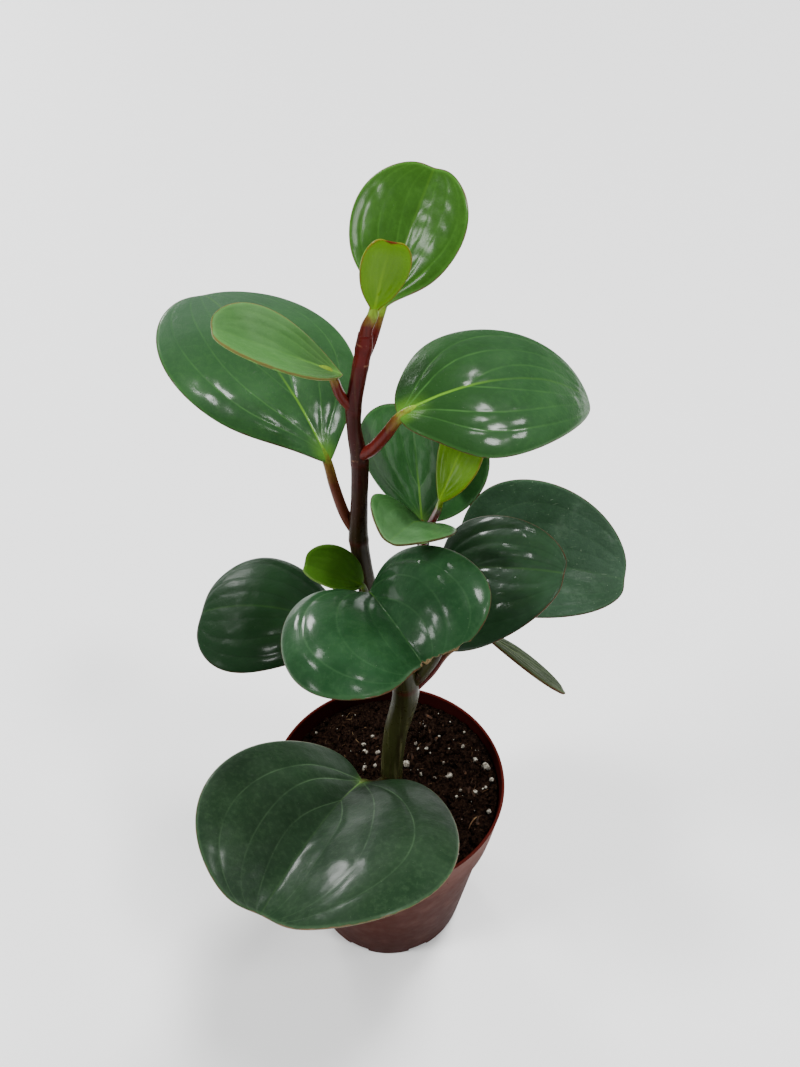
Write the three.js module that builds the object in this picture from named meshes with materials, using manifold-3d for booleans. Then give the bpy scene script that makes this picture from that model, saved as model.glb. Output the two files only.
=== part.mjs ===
// A potted peperomia (a radiator plant, baby rubber plant): a plastic nursery pot filled with peat
// soil, one thick zigzag stem that forks above the soil, and fifteen fleshy leaves on red stalks.
// Millimetres, +Z up, origin at the centre of the pot's flat underside. -Y is the plant's front.

import * as THREE from "three";
import { mergeVertices } from "three/addons/utils/BufferGeometryUtils.js";
import Module from "manifold-3d";

const wasm = await Module();
wasm.setup();

// Driving dimensions of the pot, a standard 4 inch nursery pot
const POT_HEIGHT = 88;
const POT_BASE_RADIUS = 35.5;
const POT_BODY_TOP_RADIUS = 45.2;
const COLLAR_HEIGHT = 22;
const COLLAR_FOOT_RADIUS = 47;
const RIM_RADIUS = 50;
const RIM_ROUNDING = 0.35;
const WALL = 1.2;
const POT_FLOOR = 1.6;
const BASE_EDGE = 1.5;
const POT_SIDES = 44;
const DRAIN_SLOTS = 8;
const DRAIN_SLOT_WIDTH = 9;
const DRAIN_SLOT_HEIGHT = 3.2;
const DRAIN_SLOT_DEPTH = 5;

// Driving dimensions of the soil and what is mixed into it
const SOIL_LEVEL = 81.5;
const SOIL_MOUND = 1;
const SOIL_RISE = 2; // how much higher the soil lies at the right wall than in the middle
const LUMP_HEIGHT = 0.45;
const LUMP_SPREAD = [5.1, 4.3, 3.2];
const SOIL_RINGS = 6;
const SOIL_SIDES = 36;
const STEM_DEPTH = 27.5;
const PERLITE_GRAINS = 34;
const PERLITE_RADIUS = [0.9, 1.8];
const PERLITE_LIFT = 0.25;
const BARK_CHIPS = 10;
const BARK_LENGTH = [3, 6];
const BARK_WIDTH = [1, 2];
const BARK_THICKNESS = 1.4;

// Every piece that touches another keeps this clearance to it
const GAP = 0.3;

// Stems: points on the centre line and the radius there
const STEM_SIDES = 10;
const MAIN_STEM_STEPS = 26;
const SIDE_SHOOT_STEPS = 12;
const MAIN_STEM = [
  { at: [1.0, 0, SOIL_LEVEL - STEM_DEPTH], radius: 4.7 },
  { at: [1.4, 0, 82], radius: 4.7 },
  { at: [1.7, 0, 98], radius: 4.7 },
  { at: [3.4, 0, 118], radius: 4.9 },
  { at: [7.3, 0, 142], radius: 5.3 },
  { at: [5.6, 0, 156], radius: 4.5 },
  { at: [0.4, 0, 172], radius: 3.8 },
  { at: [-5.2, 0, 190], radius: 3.6 },
  { at: [-7.4, 0, 205], radius: 3.1 },
  { at: [-8.8, 0, 218], radius: 3.4 },
  { at: [-8.1, 0, 234], radius: 2.8 },
  { at: [-7.6, 0, 248], radius: 2.9 },
  { at: [-8.9, 0, 260], radius: 2.3 },
  { at: [-8.7, 0, 268], radius: 2.5 },
  { at: [-6.6, 0, 279], radius: 2.4 },
  { at: [-5.3, 0, 286], radius: 2.5 },
  { at: [-4.7, 0, 290], radius: 2.2 },
];
const SIDE_SHOOT = [
  { at: [7.6, 0, 145], radius: 2.9 },
  { at: [14.2, 0.4, 154], radius: 2.7 },
  { at: [19.6, 2.0, 166], radius: 2.6 },
  { at: [18.4, 4.4, 183], radius: 2.4 },
  { at: [14.2, 5.2, 198], radius: 2.2 },
  { at: [12.8, 4.6, 210], radius: 2.1 },
  { at: [13.4, 3.4, 219], radius: 2.2 },
];

// Leaf blades. A blade starts flat: its outline swells as along^baseTaper * (1 - along)^tipTaper, is
// drawn in at the neck, pushed back in two lobes beside the stalk and notched at the tip. It is then
// folded up along the midrib, curled across, bent down along its length, twisted, and set at its base
// point by heading (from +X towards +Y), pitch above the level and roll. Angles are in degrees.
const BLADE_THICKNESS = 1.2;
const FOLD_SOFTNESS = 0.12; // share of the half width over which the fold is rounded
const NECK_REACH = 0.16; // share of the length that the drawn-in neck takes up
const LOBE_REACH = 0.06;
const NOTCH_REACH = 0.012;
const FLAT = { neck: 0, lobe: 0, notch: 1, uneven: 0, fold: 0, curl: 0, bend: 0, twist: 0 };
const STALK_SIDES = 8;
const STALK_STEPS = 7;
const STALK_TAPER = 0.35; // share of its radius that a stalk loses on its way under the blade
const STALK_UNDER_BLADE = 0.13; // share of the blade's length that the stalk runs on under it
const LARGE = { along: 12, across: 10 };
const SMALL = { along: 10, across: 8 };

const MATURE = 0x2f5a36;
const YOUNG = 0x4a8038;
const NEWEST = 0x7ea032;

const LEAVES = [
  {
    name: "leaf_lowest_front", colour: MATURE, grid: LARGE,
    base: [-9.8, -10, 98], heading: -112, pitch: 41, roll: -5, length: 85, width: 99.5,
    baseTaper: 0.7, tipTaper: 0.53, lobe: 6.4, notch: 3.7, uneven: 0.12,
    fold: 39, curl: -48, bend: 47, twist: 6,
    stalk: [[1.5, 0, 87], [-5, -6.5, 90]], stalkRadius: 2.2,
  },
  {
    name: "leaf_left_low", colour: MATURE, grid: LARGE,
    base: [-12.4, -3, 173.5], heading: 186, pitch: 53, roll: -10.5, length: 60, width: 56,
    baseTaper: 0.95, tipTaper: 0.48, uneven: -0.07, curl: -25, bend: 82,
    stalk: [[3.5, 0, 161], [-5, -2.4, 164.5]], stalkRadius: 1.9,
  },
  {
    name: "leaf_low_right", colour: MATURE, grid: SMALL,
    base: [36, 3, 170.7], heading: -17, pitch: -26, roll: -33.5, length: 38, width: 30,
    baseTaper: 0.7, tipTaper: 0.6, fold: 4, curl: -8, bend: 10,
    stalk: [[8, 0, 140], [16.6, 2, 150], [23.8, 3, 162]], stalkRadius: 1.5,
  },
  {
    name: "leaf_centre_front", colour: MATURE, grid: LARGE,
    base: [-5.3, -10.5, 202.6], heading: -88.5, pitch: 50, roll: 32, length: 54, width: 70.5,
    baseTaper: 1.02, tipTaper: 0.43, lobe: 0.7, notch: 4, uneven: -0.11,
    fold: 57, curl: -85.5, bend: 87.5, twist: -15,
    stalk: [[-4.6, 0, 185], [-5, -6.5, 190.5]], stalkRadius: 1.8,
  },
  {
    name: "leaf_small_round", colour: YOUNG, grid: SMALL,
    base: [-7.5, -6.5, 203.3], heading: 195, pitch: 34.5, roll: -44, length: 23.9, width: 15.6,
    baseTaper: 0.59, tipTaper: 0.45, uneven: -0.28, fold: 20, curl: 20, twist: 7.5,
    stalk: [[-6, -0.5, 191], [-6.2, -5.2, 196]], stalkRadius: 1.2,
  },
  {
    name: "leaf_far_right", colour: MATURE, grid: LARGE,
    base: [24.9, 16, 197.3], heading: -21.5, pitch: 14, roll: 30, length: 61.4, width: 52.3,
    baseTaper: 0.34, tipTaper: 0.52, uneven: 0.16, fold: 9.5, curl: 8.5, bend: 29,
    stalk: [[18.2, 4.5, 185], [20.5, 11, 189]], stalkRadius: 1.8,
  },
  {
    name: "leaf_right_middle", colour: MATURE, grid: LARGE,
    base: [17.9, 0, 203.5], heading: -36, pitch: 35, roll: 29.5, length: 47.6, width: 50,
    baseTaper: 0.26, tipTaper: 0.52, uneven: -0.19, fold: 13, curl: -30.5, bend: 31.5,
    stalk: [[17, 4.8, 190], [17.6, 0.8, 196]], stalkRadius: 1.8,
  },
  {
    name: "side_leaf_front", colour: YOUNG, grid: SMALL,
    base: [12.6, -3, 226.4], heading: -109, pitch: 42.5, roll: -12, length: 31.4, width: 29,
    baseTaper: 0.5, tipTaper: 0.63, uneven: -0.04, fold: 28, curl: -25, bend: 37.5, twist: -5,
    stalk: [[12.8, 4.4, 211], [12.7, 0.6, 216.5]], stalkRadius: 1.4,
  },
  {
    name: "side_leaf_back", colour: MATURE, grid: SMALL,
    base: [12.7, 9, 218], heading: 114, pitch: 76, roll: -58, length: 42.2, width: 50,
    baseTaper: 0.66, tipTaper: 0.39, uneven: -0.15, fold: 7.5, twist: 3,
    stalk: [[12.6, 4.6, 209], [12.6, 8.2, 212]], stalkRadius: 1.6,
  },
  {
    name: "side_leaf_youngest", colour: NEWEST, grid: SMALL,
    base: [17, -6, 236.9], heading: 18, pitch: 69.5, roll: 15, length: 30.3, width: 18.8,
    baseTaper: 0.88, tipTaper: 0.53, fold: 4, curl: 1.5,
    stalk: [[13.4, 3.4, 217.5], [15.4, 2.2, 223.4], [16.8, -1.6, 230.5]], stalkRadius: 1.3,
  },
  {
    name: "leaf_left_large", colour: MATURE, grid: LARGE,
    base: [-17.6, 6, 243.8], heading: 130.5, pitch: 51, roll: 1, length: 80, width: 65,
    baseTaper: 0.78, tipTaper: 0.66, neck: 0.38, fold: 6, curl: -21, bend: 49.5, twist: 5,
    stalk: [[-8.8, 0, 219.5], [-12.9, 1, 227], [-16.2, 3.5, 237]], stalkRadius: 1.8,
  },
  {
    name: "leaf_right_large", colour: MATURE, grid: LARGE,
    base: [4.3, -6, 267.6], heading: 9, pitch: 30, roll: 20, length: 71.8, width: 50.7,
    baseTaper: 0.45, tipTaper: 0.8, neck: 0.31, uneven: 0.03, fold: 5.6, curl: -40,
    bend: 79.5, twist: 14,
    stalk: [[-7.8, 0, 250.5], [-3.7, -2.2, 254], [0.4, -4.2, 260]], stalkRadius: 1.9,
  },
  {
    name: "leaf_left_young", colour: YOUNG, grid: SMALL,
    base: [-11.3, -2, 278.5], heading: 204.5, pitch: 30, roll: -23, length: 41, width: 25,
    baseTaper: 0.9, tipTaper: 0.55, uneven: 0.03, fold: 18, curl: 11.5,
    stalk: [[-8.9, 0, 266.5], [-12.2, -1.2, 271.5]], stalkRadius: 1.6, joinsAt: 0.1,
  },
  {
    name: "leaf_top", colour: YOUNG, grid: SMALL,
    base: [-0.9, 5, 293], heading: 50, pitch: 57, roll: 16, length: 42.6, width: 34,
    baseTaper: 0.86, tipTaper: 0.56, neck: 0.88, uneven: 0.08, fold: 12.5, curl: -19.5, bend: 3.5,
    stalk: [[-6, 0.8, 280.5], [-3.4, 2.6, 285.5]], stalkRadius: 1.3,
  },
  {
    name: "leaf_youngest", colour: NEWEST, grid: SMALL,
    base: [-2.5, -1.5, 295.5], heading: 60.5, pitch: 69, roll: 44.5, length: 21.7, width: 14.2,
    baseTaper: 0.83, tipTaper: 0.4, neck: 0.54, fold: 5.5, curl: 28, bend: -35.5,
    stalk: [[-5.1, 0, 287], [-4.3, -0.6, 292]], stalkRadius: 1.8,
  },
];

const degrees = THREE.MathUtils.degToRad;
const point = (xyz) => new THREE.Vector3(...xyz);

// A small repeatable random draw, so that the grains always fall in the same places
function seededDraw(seed) {
  let state = seed;
  return (low = 0, high = 1) => {
    state = (state * 1664525 + 1013904223) % 4294967296;
    return low + ((high - low) * state) / 4294967296;
  };
}

// Geometry to a solid and back
function toSolid(geometry) {
  const bare = geometry.clone();
  bare.deleteAttribute("normal");
  bare.deleteAttribute("uv");
  const merged = mergeVertices(bare, 1e-4);
  return new wasm.Manifold(
    new wasm.Mesh({
      numProp: 3,
      vertProperties: new Float32Array(merged.attributes.position.array),
      triVerts: new Uint32Array(merged.index.array),
    }),
  );
}

function toGeometry(solid) {
  const mesh = solid.getMesh();
  const geometry = new THREE.BufferGeometry();
  geometry.setAttribute("position", new THREE.BufferAttribute(mesh.vertProperties, 3));
  geometry.setIndex(new THREE.BufferAttribute(mesh.triVerts, 1));
  geometry.computeVertexNormals();
  return geometry;
}

function namedMesh(name, geometry, colour, roughness) {
  const material = new THREE.MeshStandardMaterial({ color: colour, roughness, metalness: 0 });
  const mesh = new THREE.Mesh(geometry, material);
  mesh.name = name;
  return mesh;
}

// A closed tube whose radius changes along a curve
function taperedTube(curve, radiusAt, sides, steps) {
  const frames = curve.computeFrenetFrames(steps, false);
  const positions = [];
  const faces = [];
  for (let i = 0; i <= steps; i++) {
    const centre = curve.getPointAt(i / steps);
    const radius = radiusAt(i / steps);
    for (let j = 0; j < sides; j++) {
      const turn = (2 * Math.PI * j) / sides;
      const rim = centre.clone();
      rim.addScaledVector(frames.normals[i], radius * Math.cos(turn));
      rim.addScaledVector(frames.binormals[i], radius * Math.sin(turn));
      positions.push(...rim.toArray());
      if (i < steps) {
        const here = i * sides + j;
        const next = i * sides + ((j + 1) % sides);
        faces.push(here, next, next + sides, here, next + sides, here + sides);
      }
    }
  }
  for (let j = 1; j < sides - 1; j++) {
    const last = steps * sides;
    faces.push(0, j + 1, j, last, last + j, last + j + 1);
  }
  const geometry = new THREE.BufferGeometry();
  geometry.setAttribute("position", new THREE.Float32BufferAttribute(positions, 3));
  geometry.setIndex(faces);
  return geometry;
}

// A stem follows its points; grown is how much fatter and longer it is made, for the room it needs
function stemGeometry(stem, steps, grown) {
  const knots = stem.map((knot) => point(knot.at));
  const lengthen = (end, inner) => {
    end.addScaledVector(end.clone().sub(inner).normalize(), grown);
  };
  lengthen(knots[0], knots[1]);
  lengthen(knots.at(-1), knots.at(-2));
  const curve = new THREE.CatmullRomCurve3(knots);
  const radiusAt = (share) => {
    const place = curve.getUtoTmapping(share) * (stem.length - 1);
    const knot = Math.min(Math.floor(place), stem.length - 2);
    return THREE.MathUtils.lerp(stem[knot].radius, stem[knot + 1].radius, place - knot) + grown;
  };
  return taperedTube(curve, radiusAt, STEM_SIDES, steps);
}

// Distance along and half width of a flat blade's edge, along running from 0 at the base to 1
function bladeEdge(leaf, along) {
  const { baseTaper, tipTaper } = leaf;
  const widest = baseTaper / (baseTaper + tipTaper);
  const swell = (share) => share ** baseTaper * (1 - share) ** tipTaper;
  const neck = 1 - leaf.neck * Math.exp(-((along / NECK_REACH) ** 2));
  const lobe = leaf.lobe * (along / LOBE_REACH) * Math.exp(1 - along / LOBE_REACH);
  const notch = leaf.notch * Math.exp(-(1 - along) / NOTCH_REACH);
  return {
    x: leaf.length * along - lobe - notch,
    halfWidth: ((leaf.width / 2) * swell(along) * neck) / swell(widest),
  };
}

// Lifts a point of the flat blade into the folded, curled, bent and twisted one
function shapeBlade(leaf, x, y) {
  const half = leaf.width / 2;
  const share = Math.abs(y) / half;
  const soft = Math.hypot(share, FOLD_SOFTNESS) - FOLD_SOFTNESS;
  const fold = degrees(leaf.fold);
  const curl = degrees(leaf.curl) || 1e-3;
  const side = ((Math.sin(fold + curl * share) - Math.sin(fold)) / curl) * half * Math.sign(y);
  const rise = ((Math.cos(fold) - Math.cos(fold + curl * soft)) / curl) * half;
  const bend = degrees(leaf.bend) || 1e-3;
  const turn = (bend * x) / leaf.length;
  const reach = leaf.length / bend;
  const twist = (degrees(leaf.twist) * x) / leaf.length;
  const across = side * Math.cos(twist) - rise * Math.sin(twist);
  const up = side * Math.sin(twist) + rise * Math.cos(twist);
  return new THREE.Vector3(
    (reach + up) * Math.sin(turn),
    across,
    (reach + up) * Math.cos(turn) - reach,
  );
}

function bladeNormal(leaf, x, y) {
  const step = 0.05;
  const lengthwise = shapeBlade(leaf, x + step, y).sub(shapeBlade(leaf, x - step, y));
  const crosswise = shapeBlade(leaf, x, y + step).sub(shapeBlade(leaf, x, y - step));
  return lengthwise.cross(crosswise).normalize();
}

// Both faces share one grid of triangles, with a single point each at the base and at the tip
function bladeGeometry(leaf) {
  const { along, across } = leaf.grid;
  const positions = [];
  const faces = [];
  const addPair = (x, y) => {
    const middle = shapeBlade(leaf, x, y);
    const normal = bladeNormal(leaf, x, y);
    for (const face of [0.5, -0.5]) {
      const skin = middle.clone().addScaledVector(normal, face * BLADE_THICKNESS);
      positions.push(...skin.toArray());
    }
    return positions.length / 6 - 1;
  };
  const rows = [];
  for (let i = 0; i <= along; i++) {
    const share = (1 - Math.cos((Math.PI * i) / along)) / 2;
    const edge = bladeEdge(leaf, share);
    const midribX = (leaf.length - leaf.notch) * share;
    if (i === 0 || i === along) {
      const pole = addPair(midribX, 0);
      rows.push(Array(across + 1).fill(pole));
      continue;
    }
    const row = [];
    for (let j = 0; j <= across; j++) {
      const side = (2 * j) / across - 1;
      const x = THREE.MathUtils.lerp(midribX, edge.x, Math.abs(side));
      row.push(addPair(x, edge.halfWidth * side * (1 + leaf.uneven * Math.sign(side))));
    }
    rows.push(row);
  }
  const addBoth = (a, b, c) => {
    if (a === b || b === c || c === a) return;
    faces.push(2 * a, 2 * b, 2 * c, 2 * a + 1, 2 * c + 1, 2 * b + 1);
  };
  const addRim = (a, b) => {
    faces.push(2 * a, 2 * a + 1, 2 * b + 1, 2 * a, 2 * b + 1, 2 * b);
  };
  for (let i = 0; i < along; i++) {
    for (let j = 0; j < across; j++) {
      const [a, b, c, d] = [rows[i][j], rows[i + 1][j], rows[i + 1][j + 1], rows[i][j + 1]];
      if (j < across / 2) {
        addBoth(a, b, c);
        addBoth(a, c, d);
      } else {
        addBoth(a, b, d);
        addBoth(b, c, d);
      }
    }
    addRim(rows[i][0], rows[i + 1][0]);
    addRim(rows[i + 1][across], rows[i][across]);
  }
  const geometry = new THREE.BufferGeometry();
  geometry.setAttribute("position", new THREE.Float32BufferAttribute(positions, 3));
  geometry.setIndex(faces);
  return geometry;
}

// A leaf is its blade and its stalk, grown as one piece, cut clear of the stems that carry it
function leafGeometry(spec, stemRoom) {
  const leaf = { ...FLAT, joinsAt: 0.01, ...spec };
  const frame = new THREE.Matrix4().makeRotationFromEuler(
    new THREE.Euler(degrees(leaf.roll), -degrees(leaf.pitch), degrees(leaf.heading), "ZYX"),
  );
  frame.setPosition(point(leaf.base));
  const blade = bladeGeometry(leaf).applyMatrix4(frame);
  const underMidrib = (share, drop) => {
    const x = leaf.length * share;
    const place = shapeBlade(leaf, x, 0).addScaledVector(bladeNormal(leaf, x, 0), -drop);
    return place.applyMatrix4(frame);
  };
  const route = new THREE.CatmullRomCurve3([
    ...leaf.stalk.map(point),
    underMidrib(leaf.joinsAt, leaf.stalkRadius * 0.4),
    underMidrib(leaf.joinsAt + STALK_UNDER_BLADE, leaf.stalkRadius * 0.4),
  ]);
  const radiusAt = (share) => leaf.stalkRadius * (1 - STALK_TAPER * share ** 3);
  const stalk = taperedTube(route, radiusAt, STALK_SIDES, STALK_STEPS);
  return toGeometry(toSolid(blade).add(toSolid(stalk)).subtract(stemRoom));
}

// The pot: a lathe-turned shell with a collar, and drain slots cut in its bottom corner
function potGeometry() {
  const collarFoot = POT_HEIGHT - COLLAR_HEIGHT;
  const profile = [
    [0, 0],
    [POT_BASE_RADIUS - BASE_EDGE, 0],
    [POT_BASE_RADIUS, BASE_EDGE],
    [POT_BODY_TOP_RADIUS, collarFoot],
    [COLLAR_FOOT_RADIUS, collarFoot],
    [RIM_RADIUS, POT_HEIGHT - RIM_ROUNDING],
    [RIM_RADIUS - RIM_ROUNDING, POT_HEIGHT],
    [RIM_RADIUS - WALL + RIM_ROUNDING, POT_HEIGHT],
    [RIM_RADIUS - WALL, POT_HEIGHT - RIM_ROUNDING],
    [COLLAR_FOOT_RADIUS - WALL, collarFoot + WALL],
    [POT_BODY_TOP_RADIUS - WALL, collarFoot],
    [POT_BASE_RADIUS - WALL, POT_FLOOR],
    [0, POT_FLOOR],
  ];
  const outline = profile.map(([radius, height]) => new THREE.Vector2(radius, height));
  const turned = new THREE.LatheGeometry(outline, POT_SIDES);
  turned.rotateX(Math.PI / 2);
  let pot = toSolid(turned);
  for (let i = 0; i < DRAIN_SLOTS; i++) {
    const slot = new THREE.BoxGeometry(
      DRAIN_SLOT_DEPTH, DRAIN_SLOT_WIDTH, 2 * DRAIN_SLOT_HEIGHT,
    );
    slot.translate(POT_BASE_RADIUS, 0, 0);
    slot.rotateZ((2 * Math.PI * (i + 0.5)) / DRAIN_SLOTS);
    pot = pot.subtract(toSolid(slot));
  }
  return toGeometry(pot);
}

// Inner radius of the pot's wall at a height
function wallInside(height) {
  const collarFoot = POT_HEIGHT - COLLAR_HEIGHT;
  if (height < collarFoot) {
    const share = (height - POT_FLOOR) / (collarFoot - POT_FLOOR);
    return THREE.MathUtils.lerp(POT_BASE_RADIUS, POT_BODY_TOP_RADIUS, share) - WALL;
  }
  const share = (height - collarFoot) / COLLAR_HEIGHT;
  return THREE.MathUtils.lerp(COLLAR_FOOT_RADIUS, RIM_RADIUS, share) - WALL;
}

// Height of the uneven soil surface
function soilHeight(x, y) {
  const out = Math.hypot(x, y) / wallInside(SOIL_LEVEL);
  const [acrossX, acrossY, aslant] = LUMP_SPREAD;
  const lumps = Math.sin(x / acrossX + 1) * Math.sin(y / acrossY) + Math.sin((x - y) / aslant) / 2;
  const slope = (SOIL_RISE * x) / wallInside(SOIL_LEVEL);
  return SOIL_LEVEL + slope + SOIL_MOUND * (1 - out * out) + LUMP_HEIGHT * lumps * (1 - out ** 4);
}

// The soil fills the pot; perlite grains and bark chips are sunk into its surface
function soilGeometry() {
  const potRoom = wallInside(SOIL_LEVEL - SOIL_RISE) - 2 * GAP;
  const shoulder = POT_HEIGHT - COLLAR_HEIGHT - 1;
  const outline = [
    [0, POT_FLOOR + GAP],
    [wallInside(POT_FLOOR + GAP) - 2 * GAP, POT_FLOOR + GAP],
    [wallInside(shoulder) - 2 * GAP, shoulder],
    [potRoom, SOIL_LEVEL],
  ];
  for (let ring = SOIL_RINGS - 1; ring >= 0; ring--) {
    outline.push([(potRoom * ring) / SOIL_RINGS, SOIL_LEVEL]);
  }
  const turned = new THREE.LatheGeometry(
    outline.map(([radius, height]) => new THREE.Vector2(radius, height)), SOIL_SIDES,
  );
  turned.rotateX(Math.PI / 2);
  const spots = turned.attributes.position;
  for (let i = 0; i < spots.count; i++) {
    if (spots.getZ(i) > SOIL_LEVEL - 0.5) {
      spots.setZ(i, soilHeight(spots.getX(i), spots.getY(i)));
    }
  }
  let soil = toSolid(turned);
  const draw = seededDraw(41);
  const scatter = (makePiece, reach) => {
    const turn = draw(0, 2 * Math.PI);
    const out = Math.sqrt(draw(0.03, 1)) * (potRoom - reach);
    const [x, y] = [out * Math.cos(turn), out * Math.sin(turn)];
    const piece = makePiece();
    piece.rotateZ(draw(0, Math.PI));
    piece.translate(x, y, soilHeight(x, y));
    soil = soil.add(toSolid(piece));
  };
  for (let i = 0; i < PERLITE_GRAINS; i++) {
    scatter(() => {
      const grain = new THREE.IcosahedronGeometry(draw(...PERLITE_RADIUS), 0);
      return grain.scale(1, draw(0.7, 1), 0.8).translate(0, 0, PERLITE_LIFT);
    }, 3);
  }
  for (let i = 0; i < BARK_CHIPS; i++) {
    scatter(() => {
      const chip = new THREE.BoxGeometry(draw(...BARK_LENGTH), draw(...BARK_WIDTH), BARK_THICKNESS);
      return chip.rotateY(draw(-0.2, 0.2));
    }, 4.5);
  }
  const drilled = soil.subtract(toSolid(stemGeometry(MAIN_STEM, MAIN_STEM_STEPS, GAP)));
  const bodies = drilled.decompose().sort((a, b) => b.volume() - a.volume());
  return toGeometry(bodies[0]);
}

const plant = new THREE.Group();

const mainStem = stemGeometry(MAIN_STEM, MAIN_STEM_STEPS, 0);
const mainStemRoom = toSolid(stemGeometry(MAIN_STEM, MAIN_STEM_STEPS, GAP));
const sideShootWhole = toSolid(stemGeometry(SIDE_SHOOT, SIDE_SHOOT_STEPS, 0));
const sideShoot = toGeometry(sideShootWhole.subtract(mainStemRoom));
const sideShootRoom = toSolid(stemGeometry(SIDE_SHOOT, SIDE_SHOOT_STEPS, GAP));
const stemRoom = mainStemRoom.add(sideShootRoom);

plant.add(namedMesh("main_stem", mainStem, 0x4a3a28, 0.6));
plant.add(namedMesh("side_shoot", sideShoot, 0x4a2422, 0.6));
for (const leaf of LEAVES) {
  plant.add(namedMesh(leaf.name, leafGeometry(leaf, stemRoom), leaf.colour, 0.35));
}

const part = new THREE.Group();
part.add(namedMesh("pot", potGeometry(), 0x7c4237, 0.6));
part.add(namedMesh("soil", soilGeometry(), 0x1f1713, 0.95));
part.add(plant);

export default part;
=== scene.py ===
# A potted peperomia: a moulded nursery pot, peat soil with perlite and bark in it, one thick zigzag
# stem that forks above the soil, and fifteen fleshy leaves on red stalks. Metres, origin at the
# centre of the pot's flat underside, -Y towards the viewer.
import math
import random
from types import SimpleNamespace

import bpy
import numpy as np
from mathutils import Euler, Matrix, Vector, noise


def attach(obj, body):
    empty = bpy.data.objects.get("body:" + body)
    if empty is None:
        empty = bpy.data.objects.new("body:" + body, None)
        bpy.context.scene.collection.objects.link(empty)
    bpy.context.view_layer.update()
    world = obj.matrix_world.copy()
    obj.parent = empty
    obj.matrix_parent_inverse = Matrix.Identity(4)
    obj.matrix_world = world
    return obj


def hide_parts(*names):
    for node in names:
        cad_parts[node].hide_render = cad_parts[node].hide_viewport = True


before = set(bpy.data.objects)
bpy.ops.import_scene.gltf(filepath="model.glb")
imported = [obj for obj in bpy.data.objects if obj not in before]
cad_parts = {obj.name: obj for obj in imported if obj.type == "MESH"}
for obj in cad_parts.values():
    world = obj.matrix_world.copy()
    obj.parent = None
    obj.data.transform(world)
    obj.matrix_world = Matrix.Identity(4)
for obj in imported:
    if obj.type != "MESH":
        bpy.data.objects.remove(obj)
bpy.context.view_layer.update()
MM = 0.001


# The nursery pot: one thin shell of terracotta-coloured plastic, injection moulded, with a wider
# collar, a thin rim and eight drain slots cut into the corner of its base. Its outside is satin and
# dusty, with a painted sheen on the collar; its inside is a darker maroon copy of the plastic, painted
# shade with the painted red of light shining through the wall; and a dark red band along the rim's
# edge is painted light glowing through the thin plastic.
POT_SIDES = 128
POT_PROFILE = [
    (34.6, 0), (35.5, 1.2), (37.7, 16), (39.9, 31), (42.1, 46), (45.2, 66), (46.9, 66.1),
    (47.7, 71), (48.8, 79), (49.85, 87), (50, 87.4), (49.95, 87.75), (49.7, 88), (49.2, 88),
    (48.85, 87.7), (48.75, 87.2), (47.2, 77), (45.8, 67.2), (44.0, 65.8), (40.9, 46), (38.7, 31),
    (36.4, 14), (34.6, 2.4), (33.6, 1.6), (4, 1.6),
]
# Heights of the collar band that gets dust and a painted sheen.
COLLAR_DUST_AND_SHEEN = (64, 84)
# Heights of the rim's painted glow band.
RIM_GLOW_BAND = (87.2, 87.6)
DRAIN_SLOTS = 8
SLOT_SIZE = (5, 9, 6.4)
SLOT_REACH = 35.5
SHARP_ANGLE = 28
INSIDE_FROM = 3


def clear_selection():
    if bpy.context.object and bpy.context.object.mode != "OBJECT":
        bpy.ops.object.mode_set(mode="OBJECT")
    bpy.ops.object.select_all(action="DESELECT")


def only(piece):
    clear_selection()
    piece.select_set(True)
    bpy.context.view_layer.objects.active = piece


def joined(pieces):
    """Makes one piece of several, with the first one's name"""
    clear_selection()
    for piece in pieces:
        piece.select_set(True)
    bpy.context.view_layer.objects.active = pieces[0]
    bpy.ops.object.join()
    return bpy.context.object


def tint(red, green, blue):
    """A screen colour of 0 to 255 as the linear one that a shader takes"""
    linear = [((c / 255 + 0.055) / 1.055) ** 2.4 if c > 10 else c / 3294.6 for c in (red, green, blue)]
    return (*linear, 1)


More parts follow.
